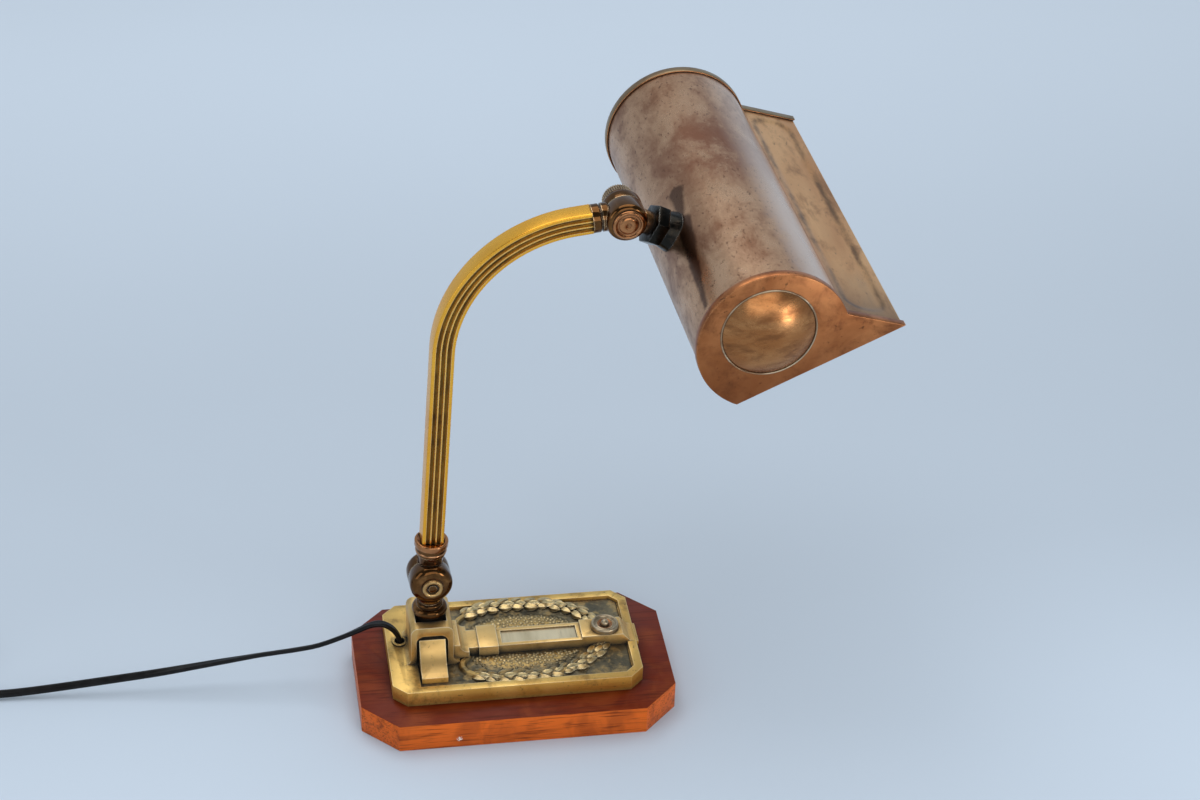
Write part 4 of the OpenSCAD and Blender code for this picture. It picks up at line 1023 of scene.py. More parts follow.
@dataclass
class Studio:
    """The camera, the pale table, the sky and the soft lights, in metres and degrees.

    The focal length and the image's width are in pixels, the sensor in millimetres.
    """

    eye: Point = (-0.20216, -1.44759, 1.22605)
    heading: float = -9.93
    height: float = 34.495
    roll: float = -2.011
    focal: float = 2944.3
    image_wide: float = 1200.0
    sensor: float = 36.0
    clip_end: float = 50.0
    floor: PaleTable = PaleTable("pale_table")
    floor_size: float = 16.0
    zenith: Colour = (1.0, 0.985, 0.96)
    room: Colour = (0.045, 0.043, 0.040)
    target: Point = (0.0, 0.0, 0.15)
    lights: tuple[SoftLight, ...] = (
        SoftLight("top_light", (0.1, 0.4, 1.7), (1.8, 1.4), 14.0),
        SoftLight("front_light", (0.3, -2.6, 1.5), (2.4, 1.6), 18.0, (1.0, 0.98, 0.95)),
        SoftLight("glint_light", (1.12, -1.34, 0.33), (0.35, 0.5), 4.2),
        SoftLight("left_light", (-1.5, -0.7, 0.9), (0.8, 1.2), 3.4, (0.98, 0.98, 1.0)))

    def camera(self) -> None:
        """Set the camera at the photograph's viewing angle."""
        data = bpy.data.cameras.new("view")
        data.sensor_width = self.sensor
        data.lens = self.sensor * self.focal / self.image_wide
        data.clip_end = self.clip_end
        a, e, r = (math.radians(d) for d in (self.heading, self.height, self.roll))
        ahead = -Vector((math.sin(a) * math.cos(e), -math.cos(a) * math.cos(e), math.sin(e)))
        right = ahead.cross(Vector((0, 0, 1))).normalized()
        down = ahead.cross(right)
        side = math.cos(r) * right + math.sin(r) * down
        low = -math.sin(r) * right + math.cos(r) * down
        turn = Matrix((side, -low, -ahead)).transposed().to_4x4()
        obj = put("view", data)
        obj.matrix_world = Matrix.Translation(self.eye) @ turn
        bpy.context.scene.camera = obj

    def table(self) -> None:
        """Lay the pale table."""
        half = self.floor_size / 2
        corners = [(-half, -half, 0), (half, -half, 0), (half, half, 0), (-half, half, 0)]
        mesh = bpy.data.meshes.new("table")
        mesh.from_pydata(corners, [], [(0, 1, 2, 3)])
        mesh.materials.append(self.floor.material())
        put("table", mesh)

    def sky(self) -> None:
        """Set a soft sky that dims towards the horizon, and the backdrop, with a dark room high in front."""
        world = bpy.data.worlds.new("studio")
        bpy.context.scene.world = world
        nodes = fresh(world)
        up = nodes.axis(nodes.add("ShaderNodeTexCoord", out="Generated"), "Z")
        right, rear = up.of("X"), up.of("Y")
        level = 0.15 + up.between(0.0, 0.75) * 0.30 + right.between(-0.9, 0.7) * 0.05
        shade = nodes.blend(level + rear.between(0.15, 0.8) * 0.27, (0.0, 0.0, 0.0), self.zenith)
        dark = (1 - rear.between(0.1, 0.6)) * up.between(0.10, 0.40)
        wall = nodes.blend(dark * 0.8, self.floor.colour, self.room)
        soft, back = (nodes.add("ShaderNodeBackground", {}, {"Color": colour, "Strength": 1.0})
                      for colour in (shade, wall))
        mixed = nodes.add("ShaderNodeMixShader", {}, {0: nodes.seen(), 1: soft, 2: back})
        nodes.add("ShaderNodeOutputWorld", {}, {"Surface": mixed})

    def build(self) -> None:
        """Set up the whole stage."""
        bpy.context.scene.view_settings.view_transform = "Standard"
        self.camera()
        self.table()
        self.sky()
        for light in self.lights:
            light.hang(self.target)


# Cord


@dataclass
class TwinCord:
    """The flat twin cord, from the grip in the plate to the plug, in millimetres.

    Twist is the wide axis's turn in degrees by the number of a route point. Lead runs on from the coil to
    the plug: y from the coil's end, and z.
    """

    width: float = 5.2
    thick: float = 3.0
    length: float = 1800.0
    exit: Point = (-71.0, 11.7, 31.2)
    route: list[Point] = field(default_factory=lambda: [
        (-71, 11.7, 24.2), (-71, 11.7, 29), (-71.4, 11.7, 33), (-73, 11.7, 37.2), (-76, 11.8, 41.5),
        (-80, 12, 44.6), (-84.5, 12.2, 45.8), (-90.5, 12.5, 44.4), (-97.5, 12.7, 41), (-106, 13.1, 36.8),
        (-122, 13.7, 30.6), (-135, 14.3, 28), (-148, 14.8, 26.3), (-160, 15.3, 24.8), (-173, 15.8, 22.8),
        (-186, 16.3, 20.8), (-199, 16.8, 18.7), (-212, 17.3, 16.6), (-225, 17.8, 14.6), (-238, 18.4, 12.8),
        (-251, 18.9, 11.2), (-264, 19.4, 9.6), (-277, 19.9, 8), (-290, 20.4, 6.5), (-303, 20.9, 5.1),
        (-316, 21.4, 4), (-329, 21.8, 3.6), (-342, 22, 3.6), (-355, 22, 3.6), (-369, 22, 3.6)])
    twist: list[Flat] = field(default_factory=lambda: [
        (0, 0), (6, 0), (9, -35), (13, -35), (19, 40), (26, 50), (28, 90)])
    parts: int = 3
    turns: float = 8.25
    pitch: float = 3.6
    coil_r: float = 35.4
    layer: float = 5.8
    steps: int = 36
    lead: list[Flat] = field(default_factory=lambda: [(10, 9.2), (20, 8.4), (28, 8), (34, 8)])

    def coil(self) -> list[Vector]:
        """Return the coil's points: in on the lower layer, up where it turns back, out on the upper one."""
        start = Vector(self.route[-1])
        mid = start + Vector((-self.width, self.coil_r, 0))
        half = self.turns / 2
        out = []
        for i in range(round(self.turns * self.steps) + 1):
            t = i / self.steps
            r = self.coil_r - self.pitch * (half - abs(t - half))
            rise = self.layer * max(0.0, min(1.0, 2 * (t - half) + 0.5))
            out.append(mid + Vector((*polar(r, -90 - 360 * t), rise)))
        last = out[-1]
        return out + [Vector((last.x, last.y + y, z)) for y, z in self.lead]

    def line(self) -> tuple[list[Vector], list[Vector]]:
        """Return the cord's points and the wide axis at each."""
        free = through(self.route, self.parts)
        coil = self.coil()
        places, turns = zip(*self.twist)
        wide = []
        for i in range(len(free)):
            a = math.radians(np.interp(i / self.parts, places, turns))
            wide.append(Vector((0, math.cos(a), math.sin(a))))
        return free + coil, wide + [Vector((0, 0, 1))] * len(coil)

    def outline(self) -> list[Flat]:
        """Return the section of two round cores side by side with a groove between them."""
        r = self.thick / 2
        off = self.width / 2 - r
        core = [(off + x, y) for x, y in (polar(r, a) for a in range(-120, 121, 30))]
        return core + [(-x, -y) for x, y in core]

    def build(self) -> None:
        """Make the cord, its tie and its plug."""
        points, wide = self.line()
        outline = self.outline()
        rings = []
        for i, p in enumerate(points):
            t = (points[min(i + 1, len(points) - 1)] - points[max(i - 1, 0)]).normalized()
            n = t.cross(wide[i]).normalized()
            w = n.cross(t)
            rings.append([p + x * w + y * n for x, y in outline])
        cord = Form().rings(rings).stand("twin_cord", Body.BASE, Slot.CORD, Finishes.CORD,
                                         ["cord", "cord_coil"], crease=50.0)
        tie = worn("cord_tie", Body.BASE, Slot.CORD, Finishes.CORD, 0.15)
        plug = worn("plug_body", Body.BASE, Slot.BAKELITE, Finishes.RESIN, 1.6)
        pins = worn("plug_pins", Body.BASE, Slot.NICKEL, Finishes.NICKEL, 0.6)
        [tuple(0.001 * p) for p in points]


# Geometry node trees


class GeometryTree(Nodes):
    """A geometry node tree with named inputs."""

    def __init__(self, name: str, inputs: dict[str, str]) -> None:
        """Start a tree.

        Args:
            name: the tree's name.
            inputs: kinds of socket by input name.
        """
        super().__init__(bpy.data.node_groups.new(name, "GeometryNodeTree"))
        face = self.tree.interface
        face.new_socket("Geometry", in_out="INPUT", socket_type="NodeSocketGeometry")
        self.keys = {key: face.new_socket(key, in_out="INPUT", socket_type=f"NodeSocket{kind}").identifier
                     for key, kind in inputs.items()}
        face.new_socket("Geometry", in_out="OUTPUT", socket_type="NodeSocketGeometry")
        self.given = self.add("NodeGroupInput", out="Geometry")

    def shape(self, name: str) -> Sock:
        """Return the geometry of an object input."""
        return self.add("GeometryNodeObjectInfo", {}, {"Object": self.given.of(name)}, out="Geometry")

    def chance(self, low: Sock | float, high: Sock | float, seed: Sock) -> Sock:
        """Return a random value for each point."""
        return self.add("FunctionNodeRandomValue", {"data_type": "FLOAT"}, {2: low, 3: high, "Seed": seed},
                        out=1)

    def facing(self, way: Sock) -> Sock:
        """Return the turn about Z that lays X along a way."""
        return self.add("FunctionNodeAlignRotationToVector", {"axis": "X", "pivot_axis": "Z"},
                        {"Vector": way})

    def close(self, shape: Sock) -> None:
        """End the tree: realise the instances and set the Finish input on them."""
        real = self.add("GeometryNodeRealizeInstances", {}, {0: shape})
        finish = self.given.of("Finish")
        dressed = self.add("GeometryNodeSetMaterial", {}, {"Geometry": real, "Material": finish})
        self.add("NodeGroupOutput", {}, {0: dressed})

    def run(self, host: bpy.types.Object, values: dict[str, object],
            place: Matrix = Matrix()) -> bpy.types.Mesh:
        """Run the tree on a host object.

        Args:
            host: the object that carries the tree; it is removed, and so are the objects among the values.
            values: input values by name.
            place: where the result goes, in millimetres.

        Returns:
            A plain mesh in metres.
        """
        modifier = host.modifiers.new(self.tree.name, "NODES")
        modifier.node_group = self.tree
        for key, value in values.items():
            modifier[self.keys[key]] = value
        shown = host.evaluated_get(bpy.context.evaluated_depsgraph_get())
        mesh = bpy.data.meshes.new_from_object(shown)
        mesh.name = self.tree.name
        host.modifiers.clear()
        for one in (host, *(v for v in values.values() if isinstance(v, bpy.types.Object))):
            bpy.data.objects.remove(one)
        mesh.transform(MM @ place)
        smooth(mesh)
        return mesh


def helper(name: str, points: Sequence[Sequence[float]], edges: Sequence[Sequence[int]] = (),
           faces: Sequence[Sequence[int]] = ()) -> bpy.types.Object:
    """Make an object that a geometry tree works on, in millimetres."""
    mesh = bpy.data.meshes.new(name)
    mesh.from_pydata([tuple(p) for p in points], list(edges), list(faces))
    return put(name, mesh)


def wire(name: str, points: Sequence[Sequence[float]]) -> bpy.types.Object:
    """Make a helper that is a line through points."""
    return helper(name, points, [(i, i + 1) for i in range(len(points) - 1)])


# Base


def nearest(x: np.ndarray, y: np.ndarray, line: Sequence[Sequence[float]]) -> np.ndarray:
    """Return each point's distance from a line of points in plan."""
    best = np.full(x.shape, 1e9)
    for a, b in zip(line, line[1:]):
        dx, dy = b[0] - a[0], b[1] - a[1]
        t = np.clip(((x - a[0]) * dx + (y - a[1]) * dy) / max(dx * dx + dy * dy, 1e-9), 0, 1)
        best = np.minimum(best, np.hypot(x - a[0] - t * dx, y - a[1] - t * dy))
    return best


def step(value: np.ndarray, low: float, high: float) -> np.ndarray:
    """Return a smooth step from 0 at low to 1 at high."""
    t = np.clip((value - low) / (high - low), 0, 1)
    return t * t * (3 - 2 * t)


@dataclass(frozen=True)
class Lens:
    """A half-round panel beside the strap, in plan; a reach below 0 goes to the front."""

    straight: float
    middle: float
    half: float
    reach: float

    def depth(self, x: np.ndarray, y: np.ndarray) -> np.ndarray:
        """Return how far inside the panel each point is; less than 0 is outside."""
        across = (y - self.straight) * math.copysign(1.0, self.reach)
        arc = abs(self.reach) * np.sqrt(np.clip(1 - ((x - self.middle) / self.half) ** 2, 0, 1))
        return np.minimum(across, (arc - across) * 0.85)


@dataclass
class PlateRelief:
    """The cast laurel wreath and the stippled panels in the plate's sunken field, in millimetres.

    Crown, lip, mound, stem and groove are a height or a depth with a width, casting a depth with a scale,
    leaf a length, a half width and a height.
    """

    floor: float = 27.6
    low: Flat = (-61.0, -33.6)
    high: Flat = (73.4, 42.6)
    cut: float = 3.2
    bank: float = 0.7
    grid: float = 0.62
    sunk: float = 0.9
    under: float = 1.6
    front: list[Flat] = field(default_factory=lambda: [
        (-26, -25.4), (-14, -28.8), (0, -29.8), (14, -29.4), (28, -27), (40, -22), (50, -14.4), (56, -6.5)])
    rear: list[Flat] = field(default_factory=lambda: [
        (-26, 35.8), (-14, 40.2), (0, 41.8), (14, 41.6), (28, 39.6), (40, 34.8), (50, 26.6), (57, 17)])
    front_stem: list[Flat] = field(default_factory=lambda: [
        (-29, -7.5), (-33, -11.5), (-33.5, -17), (-30, -22.5), (-22, -27), (-10, -29.6)])
    rear_stem: list[Flat] = field(default_factory=lambda: [
        (-29, 17), (-33, 21), (-33.5, 26.5), (-30, 32), (-22, 36.6), (-10, 38.8)])
    lenses: tuple[Lens, ...] = (Lens(-6.6, 7.0, 35.0, -17.5), Lens(15.6, 7.0, 35.0, 17.5))
    bed: float = 0.34
    crown: Flat = (1.25, 6.0)
    lip: Flat = (0.35, 0.8)
    mound: Flat = (1.9, 4.4)
    stem: Flat = (2.6, 2.3)
    groove: Flat = (0.5, 0.6)
    casting: Flat = (0.16, 0.35)
    leaf: Point = (9.6, 3.1, 2.0)
    leaf_section: tuple[Flat, ...] = ((-1, 0), (-0.55, 0.9), (0, 0.78), (0.55, 0.9), (1, 0))
    leaf_rows: int = 5
    leaves: int = 12
    lifts: Flat = (0.9, 2.3)
    boss: tuple[Flat, ...] = ((1.3, -0.3), (1.12, 0.2), (0.65, 0.5), (0, 0.62))

    def smooth_lines(self, *lines: Sequence[Flat]) -> list[list[Vector]]:
        """Return smooth lines at the field's floor."""
        return [through([(x, y, self.floor) for x, y in line], 6) for line in lines]

    def height(self, x: np.ndarray, y: np.ndarray) -> np.ndarray:
        """Return the relief's height over the field's floor at points in plan."""
        rise = np.full(x.shape, self.bed)
        for lens in self.lenses:
            inside = lens.depth(x, y)
            crown, lip = (high * step(inside, 0.0, wide) for high, wide in (self.crown, self.lip))
            rise += crown + lip
        high, wide = self.mound
        for line in self.smooth_lines(self.front, self.rear):
            rise = np.maximum(rise, high * np.exp(-(nearest(x, y, line) / wide) ** 2))
        (high, wide), (deep, slit) = self.stem, self.groove
        for line in self.smooth_lines(self.front_stem, self.rear_stem):
            away = nearest(x, y, line)
            rise = np.maximum(rise, high * np.exp(-(away / wide) ** 4) - deep * np.exp(-(away / slit) ** 2))
        deep, scale = self.casting
        rough = np.array([noise.fractal((px * scale, py * scale, 3.1), 0.9, 2.0, 4)
                          for px, py in zip(x.flat, y.flat)])
        return rise + deep * np.clip(rough.reshape(x.shape), -1.2, 1.6)

    def ground(self) -> None:
        """Lay the relief's ground in the field, sunk into the plate at its edges and its two cut corners."""
        nx, ny = (round((high - low) / self.grid) for low, high in zip(self.low, self.high))
        x, y = np.meshgrid(np.linspace(self.low[0], self.high[0], nx),
                           np.linspace(self.low[1], self.high[1], ny), indexing="ij")
        side = np.minimum(y - self.low[1], self.high[1] - y)
        edge = np.minimum(np.minimum(x - self.low[0], self.high[0] - x), side)
        corner = (self.high[0] - self.cut - x) + side
        keep = step(np.minimum(edge, corner * 0.7), 0.0, self.bank)
        z = self.floor - self.sunk + keep * (self.sunk + self.height(x, y))
        flat = np.full(x.shape, self.floor - self.under)
        top, under = ([[Vector((x[i, j], y[i, j], level[i, j])) for j in range(ny)] for i in range(nx)]
                      for level in (z, flat))
        Form().sheet(top, under).stand("field_ground", Body.BASE, Slot.PLATE, Finishes.GROUND, crease=80.0)

    def leaf_helper(self) -> bpy.types.Object:
        """Make one leaf along X, with a sunk vein and a flat underside."""
        length, half, height = self.leaf
        wide = len(self.leaf_section)
        rows = []
        points: list[Point] = [(0.0, 0.0, 0.0)]
        for i in range(1, self.leaf_rows + 1):
            s = i / (self.leaf_rows + 1)
            w = half * math.sin(math.pi * s ** 0.85) ** 0.8
            h = height * (0.45 + 0.55 * math.sin(math.pi * s ** 0.8))
            rows.append(range(len(points), len(points) + wide))
            points += [(length * s, w * across, h * up) for across, up in self.leaf_section]
        points.append((length, 0.0, 0.15 * height))
        tip = len(points) - 1
        faces = [(0, rows[0][k + 1], rows[0][k]) for k in range(wide - 1)]
        for low, high in zip(rows, rows[1:]):
            faces += [(low[k], low[k + 1], high[k + 1], high[k]) for k in range(wide - 1)]
        faces += [(tip, rows[-1][k], rows[-1][k + 1]) for k in range(wide - 1)]
        faces.append((0, *[r[0] for r in rows], tip, *[r[-1] for r in reversed(rows)]))
        obj = helper("leaf", points, (), faces)
        form = bmesh.new()
        form.from_mesh(obj.data)
        bmesh.ops.recalc_face_normals(form, faces=form.faces)
        form.to_mesh(obj.data)
        form.free()
        return obj

    def leaf_row(self, tree: GeometryTree, curve: Sock, leaf: Sock, side: float) -> Sock:
        """Lay one row of leaves along a curve.

        Args:
            tree: the garland's tree.
            curve: the garland's line.
            leaf: the leaf's shape.
            side: the row's side of the line, -1 or 1, or 0 for the row on it.

        Returns:
            The leaves.
        """
        given = tree.given
        seed = given.of("Seed")
        dots = tree.add("GeometryNodeCurveToPoints", {"mode": "COUNT"},
                        {"Curve": curve, "Count": given.of("Count")})
        along = dots.of("Tangent")
        move = tree.scaled(tree.vector("CROSS_PRODUCT", (0.0, 0.0, 1.0), along), given.of("Aside") * side)
        back = tree.scaled(along, -3.0 * abs(side))
        lift = tree.add("ShaderNodeCombineXYZ", {}, {"Z": given.of("Lift") * (1.0 - 0.4 * abs(side))})
        offset = tree.vector("ADD", tree.vector("ADD", move, back), lift)
        laid = tree.add("GeometryNodeSetPosition", {}, {"Geometry": dots, "Offset": offset})
        sway = tree.chance(-0.16, 0.16, seed + (3.0 + side))
        lean = tree.add("ShaderNodeCombineXYZ", {}, {"X": side * -0.30, "Y": given.of("Tilt") * -1.0,
                                                     "Z": given.of("Spread") * side + sway})
        by = tree.add("FunctionNodeEulerToRotation", {}, {0: lean})
        turn = tree.add("FunctionNodeRotateRotation", {"rotation_space": "LOCAL"},
                        {"Rotation": tree.facing(along), "Rotate By": by})
        size = tree.chance(given.of("Least"), given.of("Most"), seed + (7.0 + side))
        return tree.add("GeometryNodeInstanceOnPoints", {}, {
            "Points": laid, "Instance": leaf, "Rotation": turn, "Scale": size})

    def garland_tree(self) -> GeometryTree:
        """Return the tree that lays three rows of leaves along a line."""
        tree = GeometryTree("laurel", {
            "Leaf": "Object", "Count": "Int", "Aside": "Float", "Lift": "Float", "Spread": "Float",
            "Tilt": "Float", "Least": "Float", "Most": "Float", "Seed": "Int", "Finish": "Material"})
        curve = tree.add("GeometryNodeMeshToCurve", {}, {"Mesh": tree.given})
        leaf = tree.shape("Leaf")
        rows = [self.leaf_row(tree, curve, leaf, side) for side in (-1.0, 1.0, 0.0)]
        tree.close(tree.add("GeometryNodeJoinGeometry", {}, {0: rows}))
        return tree

    def garlands(self) -> None:
        """Lay the leaves of both garlands."""
        tree = self.garland_tree()
        for i, line in enumerate(self.smooth_lines(self.front, self.rear)):
            mesh = tree.run(wire("line", line), {
                "Leaf": self.leaf_helper(), "Count": self.leaves, "Aside": 2.0, "Lift": self.lifts[i],
                "Spread": 0.30, "Tilt": 0.08, "Least": 0.78, "Most": 1.12, "Seed": 5 + 9 * i,
                "Finish": Finishes.RELIEF.material()})
            piece(("garland_front", "garland_rear")[i], mesh, Body.BASE)

    def stipple_tree(self) -> GeometryTree:
        """Return the tree that scatters bosses on a panel."""
        tree = GeometryTree("stipple", {
            "Boss": "Object", "Apart": "Float", "Density": "Float", "Seed": "Int", "Finish": "Material"})
        given = tree.given
        seed = given.of("Seed")
        dots = tree.add("GeometryNodeDistributePointsOnFaces", {"distribute_method": "POISSON"}, {
            "Mesh": given, "Distance Min": given.of("Apart"), "Density Max": given.of("Density"),
            "Seed": seed})
        tree.close(tree.add("GeometryNodeInstanceOnPoints", {}, {
            "Points": dots, "Instance": tree.shape("Boss"), "Scale": tree.chance(0.7, 1.2, seed)}))
        return tree

    def panel_helper(self, lens: Lens) -> bpy.types.Object:
        """Make the grid on a half-round panel that carries its bosses."""
        us, vs = np.linspace(-0.97, 0.97, 40), np.linspace(0.07, 0.93, 14)
        points = []
        for u in us:
            arc = lens.reach * math.sqrt(1 - u * u)
            points += [(lens.middle + u * lens.half, lens.straight + v * arc) for v in vs]
        flat = np.array(points)
        z = self.floor + self.height(flat[:, 0], flat[:, 1])
        n = len(vs)
        faces = [(i * n + j, (i + 1) * n + j, (i + 1) * n + j + 1, i * n + j + 1)
                 for i in range(len(us) - 1) for j in range(n - 1)]
        return helper("panel", [(*p, h) for p, h in zip(points, z)], (), faces)

    def boss_helper(self) -> bpy.types.Object:
        """Make one small boss."""
        form = Form().lathe(self.boss, 7)
        faces = [[v.index for v in f.verts] for f in form.indexed()]
        return helper("boss", [v.co for v in form.bm.verts], (), faces)

    def stipple(self) -> None:
        """Stud both half-round panels with small bosses."""
        tree = self.stipple_tree()
        for i, lens in enumerate(self.lenses):
            mesh = tree.run(self.panel_helper(lens), {
                "Boss": self.boss_helper(), "Apart": 2.1, "Density": 0.7, "Seed": 11 + i,
                "Finish": Finishes.RELIEF.material()})
            piece(("stipple_front", "stipple_rear")[i], mesh, Body.BASE)

    def build(self) -> None:
        """Make the whole relief."""
        self.ground()
        self.garlands()
        self.stipple()


@dataclass
class Base:
    """The plinth, the cast plate with its relief, the eyelet and the switch, in millimetres.

    Handled, the height from which hands rub the plate, is in metres.
    """

    relief: PlateRelief = field(default_factory=PlateRelief)
    switch: Point = (60.2, 4.5, 36.0)
    travel: float = 2.2
    handled: float = 0.0302
    cup: float = 4.9
    panel_low: Point = (-6.5, -1.4, 32.4)
    panel_high: Point = (41.5, 10.4, 32.95)
    bezel_profile: tuple[Flat, ...] = (
        (8.8, 0), (8.8, 2.4), (8.5, 3.1), (7.9, 3.5), (7.3, 3.4), (6.9, 2.9), (6.5, 2.1), (5.9, 1.95),
        (5.4, 2.3), (4.9, 2.5), (4.2, 2.45), (3.6, 2.0), (2.85, 1.9), (2.75, 0))

    def fittings(self) -> None:
        """Dress the screws, the cord grip and the switch's inner pieces."""
        for node in ("plate_screws", "cord_grip", "grip_screws", "switch_nut"):
            dress(node, Finishes.STEEL)
        dress("switch_body", Finishes.RESIN)

    def spring(self) -> None:
        """Stand a copy of the return spring in its place, with a mesh of its own."""
        coil = Form().take("switch_spring").stand("return_spring", Body.BASE, Slot.STEEL, Finishes.STEEL,
                                                  ["switch_spring"], crease=60.0)
        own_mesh(coil)

    def panel(self) -> None:
        """Lay the strap's brushed panel in its sunk bed."""
        (x0, y0, z0), (x1, y1, z1) = self.panel_low, self.panel_high
        form = Form().prism([(x0, y0), (x1, y0), (x1, y1), (x0, y1)], z0, z1)
        form.stand("strap_panel", Body.BASE, Slot.PLATE, Finishes.PANEL)

    def bezel(self) -> None:
        """Turn the switch's ringed bezel, copper inside its cup, and the button's rounded cap."""
        form = Form().lathe(self.bezel_profile, 72, Matrix.Translation(self.switch), closed=True)
        bezel = form.stand("bezel", Body.BASE, Slot.NICKEL, Finishes.NICKEL, ["switch_bezel"], crease=50.0)
        middle = Vector(self.switch).to_2d()
        paint(bezel.data, [Finishes.COPPER],
              lambda face: int((face.center.to_2d() * 1000 - middle).length < self.cup))
        worn("button", Body.BUTTON, Slot.NICKEL, Finishes.NICKEL, 0.5)

    def handling(self, face: bpy.types.MeshPolygon) -> int:
        """Return a plate face's finish: tops before sides, low parts before those that hands rub. Side copies
        are painted light on low sides and painted shade on rubbed ones.
        """
        upright = abs(face.normal.z) < 0.9
        return 2 * int(face.center.z > self.handled) + int(upright)

    def build(self) -> None:
        """Make the base."""
        worn("plinth", Body.BASE, Slot.WOOD, Finishes.WOOD, 0.9)
        plate = worn("base_plate", Body.BASE, Slot.PLATE, Finishes.PLATE, 0.45).data
        paint(plate, (Finishes.PLATE_SIDE_LIT, Finishes.HANDLED, Finishes.HANDLED_SIDE_SHADED), self.handling)
        self.panel()
        worn("cord_eyelet", Body.BASE, Slot.PLATE, Finishes.PLATE, 0.3)
        self.bezel()
        self.spring()
        self.fittings()
        self.relief.build()


# Foot and arm


@dataclass
class Foot:
    """The turned foot and its half of the lower joint, in millimetres; head is a radius and a height."""

    face: float = 12.15
    head: Flat = (6.6, 2.2)
    socket: float = 3.9
    sunk: float = 0.2
    shaft: float = 3.4
    shaft_end: float = 2.2

    def pin(self) -> None:
        """Turn the pin's gilt head ring, with the dark socket in it and the shaft behind."""
        place = LAMP.across(LAMP.low_pivot) @ Matrix.Translation((0, 0, self.face))
        r, h = self.head
        low, bore = -self.sunk, self.socket
        ring = [(r, low), (r, h * 0.6), (r - 0.6, h), (bore + 0.7, h), (bore, h * 0.7), (bore, low)]
        form = Form().lathe(soften(ring, 0.5, True, 3), 64, place, closed=True)
        form.stand("pin_ring", Body.FOOT, Slot.COPPER, Finishes.GILT)
        hexagon = [polar(bore * 0.8, a) for a in range(0, 360, 60)]
        core = Form().prism(hexagon, 0.0, h * 0.62, place, 0.4)
        core.lathe([(0, low), (bore, low), (bore, 0.35), (0, 0.35)], 48, place)
        end = -2 * self.face - self.shaft_end
        core.lathe([(0, end), (self.shaft, end), (self.shaft, 0), (0, 0)], 24, place)
        core.stand("pin_core", Body.FOOT, Slot.COPPER, Finishes.JOINT, ["low_pin"])

    def build(self) -> None:
        """Make the foot."""
        worn("foot", Body.FOOT, Slot.JOINT, Finishes.JOINT, 0.4)
        self.pin()
        worn("low_pin_nut", Body.FOOT, Slot.STEEL, Finishes.STEEL, 0.3)
        for node in ("foot_washer", "foot_nut"):
            dress(node, Finishes.STEEL)


@dataclass
class Arm:
    """The bent reeded bar with the joints at its ends, in millimetres.

    The clamp's cap and its screw are a radius and a length each.
    """

    wide: float = 13.7
    thick: float = 12.4
    start: float = 25.5
    flute_r: float = 1.3
    flute_pitch: float = 3.4
    flutes: int = 3
    corner: float = 1.5
    bend_steps: int = 56
    clamp_face: float = 12.65
    clamp_cap: Flat = (9.4, 2.0)
    screw: Flat = (3.4, 28.0)

    def section(self) -> list[Flat]:
        """Return the bar's outline, with rounded corners and flutes on its two faces."""
        half, edge = self.wide / 2, self.thick / 2
        front: list[Flat] = []
        for i in range(self.flutes):
            mid = (i - (self.flutes - 1) / 2) * self.flute_pitch
            front += [(mid - x, edge - y) for x, y in (polar(self.flute_r, a) for a in range(0, 181, 30))]
        around = []
        for sign in (1, -1):
            first = soften([(-half, -edge), (-half, edge), front[0]], self.corner)[1:-1]
            last = soften([front[-1], (half, edge), (half, -edge)], self.corner)[1:-1]
            around += [(x * sign, y * sign) for x, y in (*first, *front, *last)]
        return around

    def path(self) -> list[tuple[Flat, float]]:
        """Return points along the bar with the heading at each."""
        steps = [(LAMP.ahead(LAMP.low_pivot, LAMP.heading, s), LAMP.heading)
                 for s in np.linspace(self.start, LAMP.straight, 8)[:-1]]
        for k in range(self.bend_steps + 1):
            heading = LAMP.heading - LAMP.sweep * k / self.bend_steps
            steps.append((LAMP.ahead(LAMP.bend_mid, heading + 90, LAMP.bend_r), heading))
        steps.append((LAMP.arm_end, LAMP.tail_heading))
        return steps

    def bar(self) -> None:
        """Sweep the bar's outline along its path."""
        outline = self.section()
        rings = []
        for at, heading in self.path():
            turn = LAMP.along(at, heading)
            rings.append([turn @ Vector((x, y, 0)) for x, y in outline])
        bar = Form().rings(rings).stand("bar", Body.ARM, Slot.ARM, Finishes.ARM, ["arm"], crease=40.0)
        reeded = self.flute_pitch * self.flutes / 2
        depth = [max(0.0, (self.thick / 2 - abs(y)) / self.flute_r) if abs(x) < reeded else 0.0
                 for x, y in outline]
        mark(bar.data, "flute", depth * len(rings))

    def clamp(self) -> None:
        """Turn the clamp screw and its ringed cap on the upper joint."""
        place = LAMP.across(LAMP.up_pivot) @ Matrix.Translation((0, 0, self.clamp_face))
        r, h = self.clamp_cap
        cap = [(0, -0.3), (r - 0.5, -0.3), (r, 0.3), (r, h * 0.55), (r - 0.7, h), (r - 1.7, h),
               (r - 2.3, h * 0.5), (r - 3.4, h * 0.42), (r - 4.0, h * 0.75), (r - 5.0, h * 1.05),
               (1.7, h * 1.05), (1.3, h * 0.65), (0, h * 0.65)]
        form = Form().lathe(soften(cap, 0.35, steps=3), 72, place)
        r, length = self.screw
        form.lathe([(0, -length), (r, -length), (r, 0), (0, 0)], 24, place)
        form.stand("clamp_cap", Body.ARM, Slot.COPPER, Finishes.COPPER, ["upper_pin"])

    def build(self) -> None:
        """Make the arm and its joints."""
        self.bar()
        worn("low_knuckle", Body.ARM, Slot.JOINT, Finishes.JOINT, 0.4)
        worn("low_rings", Body.ARM, Slot.COPPER, Finishes.COPPER, 0.3)
        worn("upper_ferrule", Body.ARM, Slot.JOINT, Finishes.JOINT, 0.35)
        self.clamp()


